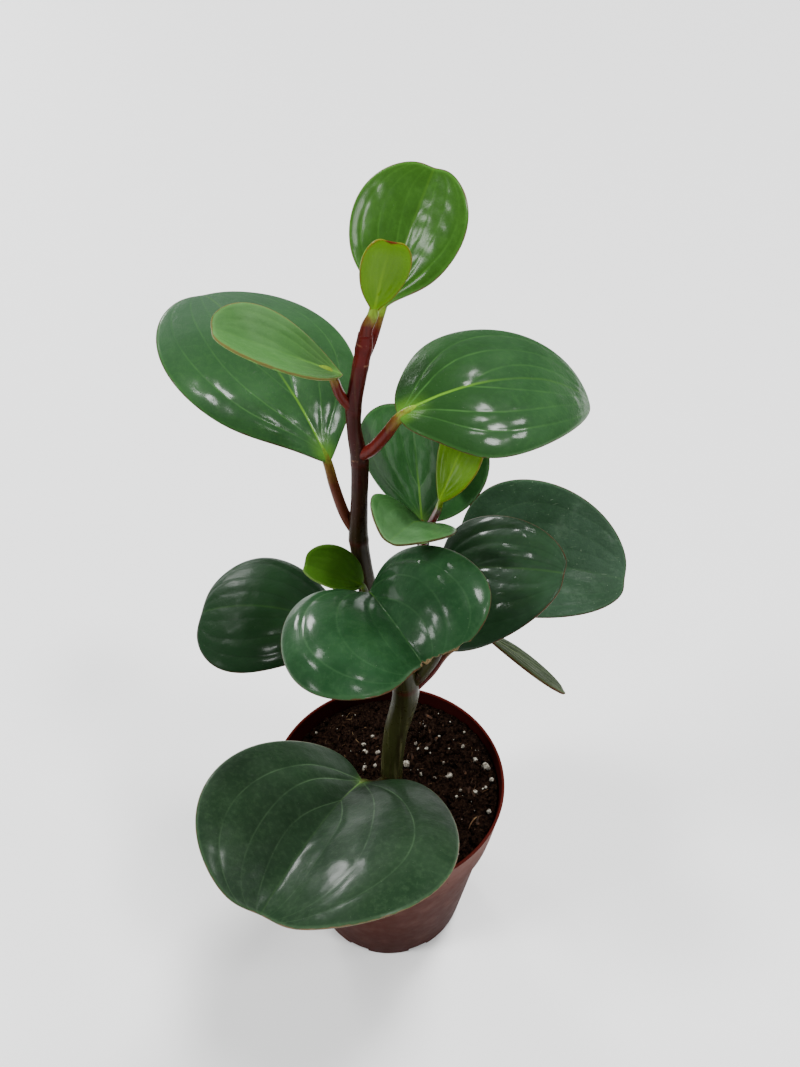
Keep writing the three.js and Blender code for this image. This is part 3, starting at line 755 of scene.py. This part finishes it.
def shape_blade(leaf, x, y):
    """Lifts the flat blade into the folded, curled, bent and twisted one"""
    half = leaf["width"] / 2
    share = np.abs(y) / half
    soft = np.hypot(share, FOLD_SOFTNESS) - FOLD_SOFTNESS
    fold, curl = math.radians(leaf["fold"]), math.radians(leaf["curl"]) or 1e-3
    bend = math.radians(leaf["bend"]) or 1e-3
    side = (np.sin(fold + curl * share) - math.sin(fold)) / curl * half * np.sign(y)
    rise = (math.cos(fold) - np.cos(fold + curl * soft)) / curl * half
    turn, reach = bend * x / leaf["length"], leaf["length"] / bend
    twist = math.radians(leaf["twist"]) * x / leaf["length"]
    across = side * np.cos(twist) - rise * np.sin(twist)
    up = side * np.sin(twist) + rise * np.cos(twist)
    return np.stack([(reach + up) * np.sin(turn), across, (reach + up) * np.cos(turn) - reach], axis=-1)


def blade_normal(leaf, x, y):
    step = 0.05
    lengthwise = shape_blade(leaf, x + step, y) - shape_blade(leaf, x - step, y)
    crosswise = shape_blade(leaf, x, y + step) - shape_blade(leaf, x, y - step)
    return unit(np.cross(lengthwise, crosswise))


def clear_of_edge(flat, outline):
    """Distance from each flat point to the blade's outline"""
    starts, steps = outline[:-1], np.diff(outline, axis=0)
    nearest = np.full(len(flat), 1e9)
    for start, step in zip(starts, steps):
        along = np.clip(((flat - start) @ step) / max(step @ step, 1e-12), 0, 1)
        nearest = np.minimum(nearest, np.linalg.norm(flat - start - along[:, None] * step, axis=1))
    return nearest


def leaf_finish(
    name, body, deep, lime, vein, beneath, rim, gloss=0.45, vein_strength=0.4, lime_to=0.6, dull=0.42,
    wax=0.15, scratched=0, tip_mark=0, painted_base_shade=None, far=None, shiny=(0, 0.78),
):
    """The waxy skin of a blade, coloured by its distance from midrib, veins and margin. The optional tone
    near the base is painted shade, the one towards the tip a painted grey reflection, and shiny tells from
    where to where the wax is thick."""
    finish = Finish(name, roughness=dull, specular=0.06, Coat_Roughness=wax)
    body, deep, lime, vein, beneath, rim = (tint(*tone) for tone in (body, deep, lime, vein, beneath, rim))
    along, upper = finish.measure("along"), finish.measure("upper")
    midrib = finish.sum("ABSOLUTE", finish.measure("from_midrib"))
    margin = finish.measure("from_margin")
    waxed = finish.times(upper, finish.fade(margin, 0.5, 4, gloss * 0.4, gloss))
    waxed = finish.times(waxed, finish.fade(along, shiny[1], shiny[1] + 0.2, 1, 0.25))
    if shiny[0]:
        waxed = finish.times(waxed, finish.fade(along, shiny[0], shiny[0] + 0.2, 0.25, 1))
    finish.put(finish.shader.inputs["Coat Weight"], waxed)
    offsets = [finish.sum("ABSOLUTE", finish.measure(vein_name)) for vein_name in VEIN_NAMES]
    inner, middle, outer = (finish.fade(offset, 0.08, 0.48, 1, 0) for offset in offsets)
    veins = finish.sum("MAXIMUM", finish.sum("MAXIMUM", inner, middle), outer)
    colour = finish.blend(finish.patches(15, 0, 1), body, deep)
    mottle = finish.fade(finish.clouds(1.9, detail=5, rough=0.65), 0.42, 0.75, 0, 0.12)
    colour = finish.blend(mottle, colour, vein)
    # Painted shade near the base, and a painted grey reflection towards the tip.
    if painted_base_shade:
        colour = finish.blend(finish.fade(along, 0.04, 0.6, 0.85, 0), colour, tint(*painted_base_shade))
    if far:
        colour = finish.blend(finish.fade(along, 0.5, 1, 0, 0.85), colour, tint(*far))
    glow = finish.times(finish.fade(along, 0, 0.17, 0.6, 0), finish.fade(midrib, 0, 6, 1, 0))
    colour = finish.blend(glow, colour, lime)
    shown = finish.fade(along, 0.05, 0.8, vein_strength, vein_strength * 0.3)
    shown = finish.times(shown, finish.fade(finish.clouds(8, detail=2), 0.35, 0.65, 0.35, 1))
    # On most leaves the vein colour is pale; on the quilted and folded leaves it is dark, painted shade in
    # the vein grooves, and it darkens their mottle and the band inside the margin as well.
    colour = finish.blend(finish.times(shown, veins), colour, vein)
    rib = finish.fade(midrib, 0.15, 0.62, 1, 0)
    rib = finish.times(rib, finish.fade(along, lime_to * 0.2, lime_to, 0.9, 0.08))
    colour = finish.blend(rib, colour, lime)
    colour = finish.blend(finish.fade(margin, 0.5, 1.3, 0.2, 0), colour, vein)
    for stretch in ((16, 1, 5), (2, 3, 14)):
        scratches = finish.clouds(0.4, detail=3, stretch=stretch, shift=(0, stretch[0], 0))
        colour = finish.blend(finish.fade(scratches, 0.68, 0.75, 0, scratched), colour, tint(120, 138, 116))
    haze = finish.fade(finish.clouds(9, detail=5, rough=0.7), 0.5, 0.72, 0, 0.4 * scratched)
    colour = finish.blend(haze, colour, tint(98, 120, 100))
    under = finish.blend(finish.fade(finish.clouds(2.2, detail=4), 0.35, 0.7, 0, 0.3), beneath, lime)
    for line, strength in ((veins, 0.22), (rib, 0.8)):
        under = finish.blend(finish.times(line, strength), under, lime)
    colour = finish.blend(upper, under, colour)
    dust = finish.fade(finish.specks(2.3), 0.02, 0.06, 0.35, 0)
    colour = finish.blend(dust, colour, tint(120, 132, 112))
    ragged = finish.sum("ADD", margin, finish.patches(3, -0.12, 0.12))
    colour = finish.blend(finish.fade(ragged, 0.12, 0.28, 0.85, 0), colour, rim)
    mark = finish.times(finish.fade(along, 0.965, 0.99, 0, tip_mark), finish.fade(midrib, 1, 2, 1, 0))
    colour = finish.blend(mark, colour, tint(92, 20, 12))
    hurt = finish.measure("torn")
    colour = finish.blend(finish.fade(hurt, 0.25, 0.6, 0, 0.9), colour, tint(118, 98, 68))
    finish.rise(finish.clouds(3.4, detail=2), 0.25, 0.24)
    finish.rise(finish.clouds(1.2, detail=3, rough=0.6), 0.65, 0.2)
    finish.rise(finish.clouds(0.25, detail=2), 0.4, 0.06)
    matt = finish.fade(finish.clouds(6, detail=5, rough=0.7), 0.35, 0.7, dull - 0.06, dull + 0.08)
    return finish.done(colour, matt)


def stalk_finish(name, red, green, lime):
    """A stalk's skin, which turns from red over green to lime towards the blade"""
    finish = Finish(name, roughness=0.3, specular=0.15)
    red, green, lime = tint(*red), tint(*green), tint(*lime)
    shifted = finish.sum("ADD", finish.measure("along"), finish.patches(2.5, -0.05, 0.05))
    streaks = finish.fade(finish.clouds(0.8, detail=3, stretch=(1, 1, 6)), 0.4, 0.7, 0, 0.35)
    colour = finish.ramp(shifted, [(0.0, red), (0.5, red), (0.68, green), (0.8, lime)])
    colour = finish.blend(streaks, colour, tint(46, 12, 10))
    dots = finish.fade(finish.specks(1.3), 0.05, 0.13, 0.25, 0)
    colour = finish.blend(dots, colour, tint(150, 104, 84))
    finish.rise(finish.clouds(0.45, detail=3), 0.3, 0.08)
    return finish.done(colour, finish.patches(2, 0.28, 0.42))


def flat_blade(leaf):
    """The blade's grid laid flat, with its share of the length and half width at every point"""
    columns, rows = leaf["grid"]
    along = ((1 - np.cos(math.pi * np.arange(rows + 1) / rows)) / 2)[:, None]
    across = np.linspace(1, -1, columns + 1)
    across = (0.55 * across + 0.45 * np.sin(across * math.pi / 2))[None]
    edge_x, half = blade_edge(leaf, along)
    half = half * (1 + leaf["uneven"] * np.sign(across))
    mid_x = (leaf["length"] - leaf["notch"]) * along
    x = mid_x + (edge_x - mid_x) * np.abs(across)
    y = half * across
    along = np.ascontiguousarray(np.broadcast_to(along, x.shape))
    outline = np.concatenate([np.stack([x[:, 0], y[:, 0]], -1), np.stack([x[::-1, -1], y[::-1, -1]], -1)])
    flat = np.stack([x, y], axis=-1).reshape(-1, 2)
    margin = clear_of_edge(flat, outline).reshape(x.shape)
    return SimpleNamespace(x=x, y=y, flat=flat, along=along, across=across, half=half, margin=margin)


def vein_relief(leaf, sheet, seed):
    """Distance from each vein, depth of the grooves over them and height of the skin between them"""
    along, y = sheet.along, sheet.y
    fading = np.clip(1.2 - along, 0.2, 1) * np.clip(along / leaf["smooth_to"] - 0.1, 0, 1)
    grooves = 0.16 * np.exp(-((y / 0.8) ** 2)) * fading
    nearest = np.abs(y)
    offsets = {}
    for vein, name in enumerate(VEIN_NAMES):
        past_start = along - VEIN_STARTS[vein]
        spread = 1 - np.exp(-np.clip(past_start, 0, 1) / VEIN_SPREADS[vein])
        sway = 0.03 * np.sin(7 * along + seed + 2 * vein + np.sign(y))
        offset = np.abs(y) - (leaf["veins"][vein] + sway) * spread * sheet.half
        offsets[name] = offset = np.where(past_start < 0, 9, offset)
        nearest = np.minimum(nearest, np.abs(offset))
        grooves = grooves + 0.12 * np.exp(-((offset / 0.6) ** 2)) * fading
    puffed = leaf["puff"] * (1 - np.exp(-((nearest / 1.9) ** 2))) * np.clip(sheet.margin / 4, 0, 1) * fading
    return offsets, grooves, puffed


def tatters(leaf, sheet, seed):
    """How frayed the torn tip is at every point, and how far it falls short"""
    if not leaf["torn"]:
        return 0 * sheet.x, 0
    ragged = [noise.fractal(Vector((a / TATTER, b / TATTER, seed)), 1, 2, 3) for a, b in sheet.flat]
    ragged = np.array(ragged).reshape(sheet.x.shape)
    near_tip = np.exp(-(((sheet.along - 1) / 0.028) ** 2)) * (sheet.across * np.sign(leaf["torn"]) > -0.1)
    depth = abs(leaf["torn"]) * near_tip * np.clip(0.55 + 1.3 * ragged, 0, 1)
    frayed = np.clip(near_tip * np.exp(-sheet.margin / 0.8) * 1.5, 0, 1)
    return frayed, depth * np.exp(-sheet.margin / 2.2)


def grow_blade(node, finish, leaf, turn, base):
    """The blade's two faces on one shape, joined along the margin"""
    seed = sum(ord(letter) for letter in node)
    sheet = flat_blade(leaf)
    along, margin, y = sheet.along, sheet.margin, sheet.y
    offsets, grooves, puffed = vein_relief(leaf, sheet, seed)
    frayed, short = tatters(leaf, sheet, seed)
    measures = {"along": along, "from_midrib": y, "from_margin": margin, "torn": frayed, **offsets}
    waves = [
        sum(height * noise.noise(Vector((a / span, b / span, seed))) for height, span in WAVES)
        for a, b in sheet.flat
    ]
    waves = leaf["wavy"] * np.array(waves).reshape(y.shape)
    middle, normal = shape_blade(leaf, sheet.x - short, y), blade_normal(leaf, sheet.x - short, y)
    round_off = np.clip(margin / MARGIN_ROUNDING, 0, 1)
    thick = BLADE_THICKNESS / 2 * np.sqrt(1 - (1 - round_off) ** 2)
    rolled = -0.35 * np.exp(-margin / 1.4) * np.clip(margin / 0.2, 0, 1)
    bare = np.clip(margin / 1.5, 0, 1)
    keel = 0.55 * np.exp(-((y / 1.6) ** 2)) * np.clip(1 - along, 0, 1) * bare
    shift = waves * np.clip(margin / 4, 0, 1) + rolled
    faces = []
    for side, relief in ((1, thick + puffed - grooves * bare), (-1, thick - 0.6 * puffed + keel)):
        skin = (middle + normal * (shift + side * relief)[..., None]) @ turn.T + base
        held = {**measures, "upper": np.full(y.shape, max(side, 0))}
        if side < 0:
            skin, held = skin[:, ::-1], {key: value[:, ::-1] for key, value in held.items()}
        faces.append(grow_skin(node + "_face", *leaf["grid"], skin, held))
        faces[-1].data.materials.append(finish)
    blade = joined(faces)
    close_seams(blade)
    return blade


def grow_stalk(node, finish, leaf, turn, base, points, radius):
    """The stalk from inside the stem to under the midrib, with a channel along its upper side"""
    route = [np.array(point, float) for point in points]
    for share in (leaf["joins_at"], leaf["joins_at"] + 0.13):
        x, y = np.array([leaf["length"] * share]), np.zeros(1)
        place = shape_blade(leaf, x, y) - blade_normal(leaf, x, y) * 0.4 * radius
        route.append((place @ turn.T + base)[0])
    line, _, _ = grown_line(route, STALK_STEPS)
    share = np.linspace(0, 1, STALK_STEPS + 1)
    radii = radius * (1 - 0.35 * share**3) * (1 + 0.1 * np.exp(-((share / 0.16) ** 2)))

    def channel(around, ring):
        top = np.exp(-(((around - math.pi / 2) / 0.5) ** 2))
        return -0.16 * radius * top[None] * np.sin(math.pi * share[ring])[:, None]

    stalk = grow_tube(
        node + "_stalk", line, radii, STALK_SIDES, turn @ np.array([0, 0, 1.0]),
        flatten=1 - 0.3 * share**4, relief=channel, measures={"along": share},
    )
    stalk.data.materials.append(finish)
    return stalk


def grow_leaf(
    node, finish, stalk_colour, slot, grid, base, turns, size, tapers, stalk, stalk_radius, **form
):
    """One leaf: its blade, and its stalk running on under the midrib"""
    leaf = {**PLAIN_LEAF, **form, "grid": grid, "length": size[0], "width": size[1], "tapers": tapers}
    heading, pitch, roll = (math.radians(angle) for angle in turns)
    turn = Matrix.Rotation(heading, 3, "Z") @ Matrix.Rotation(-pitch, 3, "Y")
    turn = np.array(turn @ Matrix.Rotation(roll, 3, "X"))
    base = np.array(base, float)
    blade = grow_blade(node, finish, leaf, turn, base)
    stem = grow_stalk(node, stalk_colour, leaf, turn, base, stalk, stalk_radius)
    blade = joined([blade, stem])
    blade.name = node.replace("leaf", "blade") if "side" not in node else node + "_blade"
    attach(blade, "root")
    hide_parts(node)


red_rim, tan_rim, olive = (66, 34, 20), (104, 82, 62), (72, 104, 58)
dark_leaf = leaf_finish(
    "dark_glossy_leaf", (35, 65, 38), (21, 51, 25), (84, 128, 36), (70, 104, 66),
    olive, red_rim, gloss=0.38, vein_strength=0.5, lime_to=0.45, shiny=(0.3, 0.78),
)
# Its dark vein colour is painted shade in the vein grooves; it also has painted shade near its base and a
# painted grey reflection towards its tip.
quilted_leaf = leaf_finish(
    "quilted_leaf_painted_groove_shade", (23, 45, 24), (14, 35, 15), (72, 112, 34), (8, 23, 9),
    olive, red_rim, gloss=0.26, vein_strength=0.75, lime_to=0.3, wax=0.2,
    painted_base_shade=(10, 28, 11), far=(27, 49, 29), shiny=(0, 0.45),
)
# Its dark vein colour is painted shade in the vein grooves; it also has painted shade near its base.
folded_leaf = leaf_finish(
    "folded_leaf_painted_groove_shade", (37, 59, 40), (26, 47, 28), (84, 126, 40), (12, 32, 13),
    olive, red_rim, gloss=0.5, vein_strength=0.7, lime_to=0.3,
    painted_base_shade=(12, 34, 13), shiny=(0.25, 0.78),
)
# Painted shade near its base.
low_leaf = leaf_finish(
    "dull_old_leaf", (36, 56, 37), (27, 47, 29), (76, 112, 48), (86, 114, 80),
    olive, tan_rim, gloss=0.3, vein_strength=0.5, lime_to=0.35, dull=0.46, wax=0.22,
    painted_base_shade=(18, 36, 18), shiny=(0.35, 0.78),
)
matt_leaf = leaf_finish(
    "matt_old_leaf", (49, 72, 54), (41, 64, 45), (66, 100, 52), (76, 104, 76),
    olive, red_rim, gloss=0.02, vein_strength=0.3, lime_to=0.35, dull=0.5, scratched=0.6,
)
low_side_leaf = leaf_finish(
    "edge_on_leaf", (36, 48, 23), (26, 38, 15), (100, 114, 70), (106, 120, 80),
    (60, 80, 40), red_rim, gloss=0, vein_strength=1, dull=0.7,
)
bright_skin = {
    "body": (46, 80, 44), "deep": (37, 69, 36), "lime": (102, 154, 40), "vein": (74, 122, 58),
    "beneath": (88, 128, 66), "rim": red_rim, "gloss": 0.5, "vein_strength": 0.5, "lime_to": 0.52,
}
# The first has painted shade near its base, the second a painted grey reflection towards its tip.
bright_leaf = leaf_finish("bright_leaf_shade_painted_at_base", painted_base_shade=(28, 59, 21), shiny=(0.2, 0.78), **bright_skin)
tipped_leaf = leaf_finish("bright_leaf_sheen_painted_at_tip", far=(57, 81, 61), **bright_skin)
back_leaf = leaf_finish(
    "smooth_back_leaf", (49, 93, 47), (40, 82, 39), (104, 152, 52), (80, 126, 66),
    (88, 128, 66), red_rim, gloss=0.3, vein_strength=0.4,
)
young_leaf = leaf_finish(
    "young_leaf", (54, 95, 28), (45, 83, 23), (118, 166, 46), (92, 150, 56),
    (110, 150, 76), tan_rim, gloss=0.42, vein_strength=0.3, wax=0.19,
)
side_leaf = leaf_finish(
    "pale_side_leaf", (83, 123, 77), (60, 103, 52), (112, 156, 60), (104, 144, 90),
    (104, 144, 84), red_rim, vein_strength=0.3,
)
# Painted shade near its base.
pale_leaf = leaf_finish(
    "pale_young_leaf", (80, 118, 70), (66, 107, 55), (92, 140, 56), (92, 136, 68),
    (96, 138, 66), (104, 90, 48), gloss=0.25, vein_strength=0.3, lime_to=0.5, painted_base_shade=(54, 86, 40),
)
cup_leaf = leaf_finish(
    "small_cupped_leaf", (60, 97, 26), (48, 86, 19), (74, 112, 18), (66, 102, 20),
    (80, 116, 34), (84, 108, 48), gloss=0.18, vein_strength=0.15, lime_to=0.3,
)
new_leaf = leaf_finish(
    "newest_leaf", (86, 128, 3), (76, 118, 3), (104, 144, 10), (100, 140, 12),
    (108, 148, 20), (104, 92, 24), gloss=0.2, vein_strength=0.22, lime_to=0.95, tip_mark=0.9,
)
forked_new_leaf = leaf_finish(
    "newest_side_leaf", (86, 124, 15), (78, 116, 12), (110, 148, 20), (106, 144, 22),
    (116, 156, 30), (104, 92, 24), gloss=0.2, vein_strength=0.22, lime_to=0.95,
)
red_stalk = stalk_finish("red_stalk", (84, 22, 16), (108, 84, 32), (118, 148, 44))
brown_stalk = stalk_finish("brown_stalk", (78, 36, 20), (98, 76, 32), (100, 134, 40))
green_stalk = stalk_finish("green_stalk", (48, 46, 16), (60, 76, 18), (80, 114, 24))

grow_leaf(
    "leaf_lowest_front", low_leaf, green_stalk, "leaf_mature", LARGE,
    base=(-9.8, -10, 98), turns=(-112, 41, -5), size=(85, 99.5), tapers=(0.7, 0.53),
    lobe=6.4, notch=3.7, uneven=0.12, fold=39, curl=-48, bend=47, twist=6,
    stalk=[(1.5, 0, 87), (-5, -6.5, 90)], stalk_radius=2.2, veins=(0.25, 0.5, 0.72), puff=0.3,
)
grow_leaf(
    "leaf_left_low", quilted_leaf, red_stalk, "leaf_mature", LARGE,
    base=(-12.4, -3, 173.5), turns=(186, 53, -10.5), size=(60, 56), tapers=(0.95, 0.48),
    uneven=-0.07, curl=-25, bend=82,
    stalk=[(3.5, 0, 161), (-5, -2.4, 164.5)], stalk_radius=1.9, puff=0.5, smooth_to=0.6,
)
grow_leaf(
    "leaf_low_right", low_side_leaf, red_stalk, "leaf_mature", SMALL,
    base=(36, 3, 170.7), turns=(-17, -26, -33.5), size=(38, 30), tapers=(0.7, 0.6),
    fold=4, curl=-8, bend=10,
    stalk=[(8, 0, 140), (16.6, 2, 150), (23.8, 3, 162)], stalk_radius=1.5,
)
grow_leaf(
    "leaf_centre_front", dark_leaf, brown_stalk, "leaf_mature", LARGE,
    base=(-5.3, -10.5, 202.6), turns=(-88.5, 50, 32), size=(54, 70.5), tapers=(1.02, 0.43),
    lobe=0.7, notch=4, uneven=-0.11, fold=57, curl=-85.5, bend=87.5, twist=-15,
    stalk=[(-4.6, 0, 185), (-5, -6.5, 190.5)], stalk_radius=1.8,
    veins=(0.3, 0.55, 0.78), puff=0.4, torn=1.6,
)
grow_leaf(
    "leaf_small_round", cup_leaf, green_stalk, "leaf_young", SMALL,
    base=(-7.5, -6.5, 203.3), turns=(195, 34.5, -44), size=(23.9, 15.6), tapers=(0.59, 0.45),
    uneven=-0.28, fold=20, curl=20, twist=7.5,
    stalk=[(-6, -0.5, 191), (-6.2, -5.2, 196)], stalk_radius=1.2,
)
grow_leaf(
    "leaf_far_right", matt_leaf, red_stalk, "leaf_mature", LARGE,
    base=(24.9, 16, 197.3), turns=(-21.5, 14, 30), size=(61.4, 52.3), tapers=(0.34, 0.52),
    uneven=0.16, fold=9.5, curl=8.5, bend=29,
    stalk=[(18.2, 4.5, 185), (20.5, 11, 189)], stalk_radius=1.8,
)
grow_leaf(
    "leaf_right_middle", folded_leaf, red_stalk, "leaf_mature", LARGE,
    base=(17.9, 0, 203.5), turns=(-36, 35, 29.5), size=(47.6, 50), tapers=(0.26, 0.52),
    uneven=-0.19, fold=13, curl=-30.5, bend=31.5,
    stalk=[(17, 4.8, 190), (17.6, 0.8, 196)], stalk_radius=1.8, puff=0.35, wavy=1.5,
)
grow_leaf(
    "side_leaf_front", side_leaf, red_stalk, "leaf_young", SMALL,
    base=(12.6, -3, 226.4), turns=(-109, 42.5, -12), size=(31.4, 29), tapers=(0.5, 0.63),
    uneven=-0.04, fold=28, curl=-25, bend=37.5, twist=-5,
    stalk=[(12.8, 4.4, 211), (12.7, 0.6, 216.5)], stalk_radius=1.4, wavy=1.7,
)
grow_leaf(
    "side_leaf_back", back_leaf, red_stalk, "leaf_mature", SMALL,
    base=(12.7, 9, 218), turns=(114, 76, -58), size=(42.2, 50), tapers=(0.66, 0.39),
    uneven=-0.15, fold=7.5, twist=3,
    stalk=[(12.6, 4.6, 209), (12.6, 8.2, 212)], stalk_radius=1.6,
)
grow_leaf(
    "side_leaf_youngest", forked_new_leaf, red_stalk, "leaf_newest", SMALL,
    base=(17, -6, 236.9), turns=(18, 69.5, 15), size=(30.3, 18.8), tapers=(0.88, 0.53),
    fold=4, curl=1.5,
    stalk=[(13.4, 3.4, 217.5), (15.4, 2.2, 223.4), (16.8, -1.6, 230.5)], stalk_radius=1.3,
)
grow_leaf(
    "leaf_left_large", tipped_leaf, brown_stalk, "leaf_mature", LARGE,
    base=(-17.6, 6, 243.8), turns=(130.5, 51, 1), size=(80, 65), tapers=(0.78, 0.66),
    neck=0.38, fold=6, curl=-21, bend=49.5, twist=5,
    stalk=[(-8.8, 0, 219.5), (-12.9, 1, 227), (-16.2, 3.5, 237)], stalk_radius=1.8,
)
grow_leaf(
    "leaf_right_large", bright_leaf, red_stalk, "leaf_mature", LARGE,
    base=(4.3, -6, 267.6), turns=(9, 30, 20), size=(71.8, 50.7), tapers=(0.45, 0.8),
    neck=0.31, uneven=0.03, fold=5.6, curl=-40, bend=79.5, twist=14,
    stalk=[(-7.8, 0, 250.5), (-3.7, -2.2, 254), (0.4, -4.2, 260)], stalk_radius=1.9,
)
grow_leaf(
    "leaf_left_young", pale_leaf, red_stalk, "leaf_young", SMALL,
    base=(-11.3, -2, 278.5), turns=(204.5, 30, -23), size=(41, 25), tapers=(0.9, 0.55),
    uneven=0.03, fold=18, curl=11.5,
    stalk=[(-8.9, 0, 266.5), (-12.2, -1.2, 271.5)], stalk_radius=1.6, joins_at=0.1,
)
grow_leaf(
    "leaf_top", young_leaf, red_stalk, "leaf_young", SMALL,
    base=(-0.9, 5, 293), turns=(50, 57, 16), size=(42.6, 34), tapers=(0.86, 0.56),
    neck=0.88, uneven=0.08, fold=12.5, curl=-19.5, bend=3.5,
    stalk=[(-6, 0.8, 280.5), (-3.4, 2.6, 285.5)], stalk_radius=1.3, puff=0.05, wavy=1.6,
)
grow_leaf(
    "leaf_youngest", new_leaf, red_stalk, "leaf_newest", SMALL,
    base=(-2.5, -1.5, 295.5), turns=(60.5, 69, 44.5), size=(21.7, 14.2), tapers=(0.83, 0.4),
    neck=0.54, fold=5.5, curl=28, bend=-35.5,
    stalk=[(-5.1, 0, 287), (-4.3, -0.6, 292)], stalk_radius=1.8,
)


# The plain pale floor, the soft light of two large lamps and some small bright windows that the
# wax mirrors, and the camera at the photograph's place, looking down by 38 degrees.
FLOOR_SIZE = 14
CAMERA_PLACE = (0.0049, -0.2075, 0.3827)
CAMERA_DOWN = 38.07
CAMERA_ROLL = 0.12
LENS = 27.02
ROOM_COLOUR = (0.93, 0.97, 1, 1)
ROOM_LIGHT = 0.2
WINDOW_PANES = [
    (-35, 57, 9, 1.2), (-6, 49, 8, 0.45), (5, 78, 10, 1.1), (118, 25, 12, 1.3), (138, 54, 7, 0.35),
    (-160, 38, 12, 0.9), (-157, 23, 8, 0.5),
]

clear_selection()
bpy.ops.mesh.primitive_plane_add(size=FLOOR_SIZE, location=(0, 3, 0))
floor = bpy.context.object
floor.name = "pale_floor"
floor_paint = Finish("pale_paint", roughness=0.6, specular=0.2)
floor.data.materials.append(
    floor_paint.done(floor_paint.blend(floor_paint.clouds(60), tint(240, 240, 240), tint(243, 243, 243)))
)


def soft_light(name, azimuth, elevation, spread, strength, mirrored=True):
    """Even light from one direction, softened as by a window that looks so many degrees wide"""
    a, e = math.radians(azimuth), math.radians(elevation)
    way = Vector((math.cos(a) * math.cos(e), math.sin(a) * math.cos(e), math.sin(e)))
    light = bpy.data.lights.new(name, "SUN")
    light.angle = math.radians(spread)
    light.energy = strength
    placed = bpy.data.objects.new(name, light)
    placed.location = way
    placed.rotation_euler = way.to_track_quat("Z", "Y").to_euler()
    placed.visible_glossy = mirrored
    bpy.context.scene.collection.objects.link(placed)


soft_light("back_light", azimuth=54, elevation=50, spread=20, strength=3.8, mirrored=False)
soft_light("left_light", azimuth=-165, elevation=41, spread=12, strength=1.6, mirrored=False)
for number, (azimuth, elevation, spread, strength) in enumerate(WINDOW_PANES):
    soft_light(f"window_pane_{number}", azimuth, elevation, spread, strength)

world = bpy.data.worlds.new("bright_room")
world.use_nodes = True
world.node_tree.nodes["Background"].inputs["Color"].default_value = ROOM_COLOUR
world.node_tree.nodes["Background"].inputs["Strength"].default_value = ROOM_LIGHT
bpy.context.scene.world = world

camera_data = bpy.data.cameras.new("camera")
camera_data.sensor_fit = "AUTO"
camera_data.sensor_width = 36
camera_data.lens = LENS
camera = bpy.data.objects.new("camera", camera_data)
bpy.context.scene.collection.objects.link(camera)
camera.location = CAMERA_PLACE
looking = Matrix.Rotation(math.radians(90 - CAMERA_DOWN), 3, "X")
camera.rotation_euler = (looking @ Matrix.Rotation(math.radians(CAMERA_ROLL), 3, "Z")).to_euler()
bpy.context.scene.camera = camera
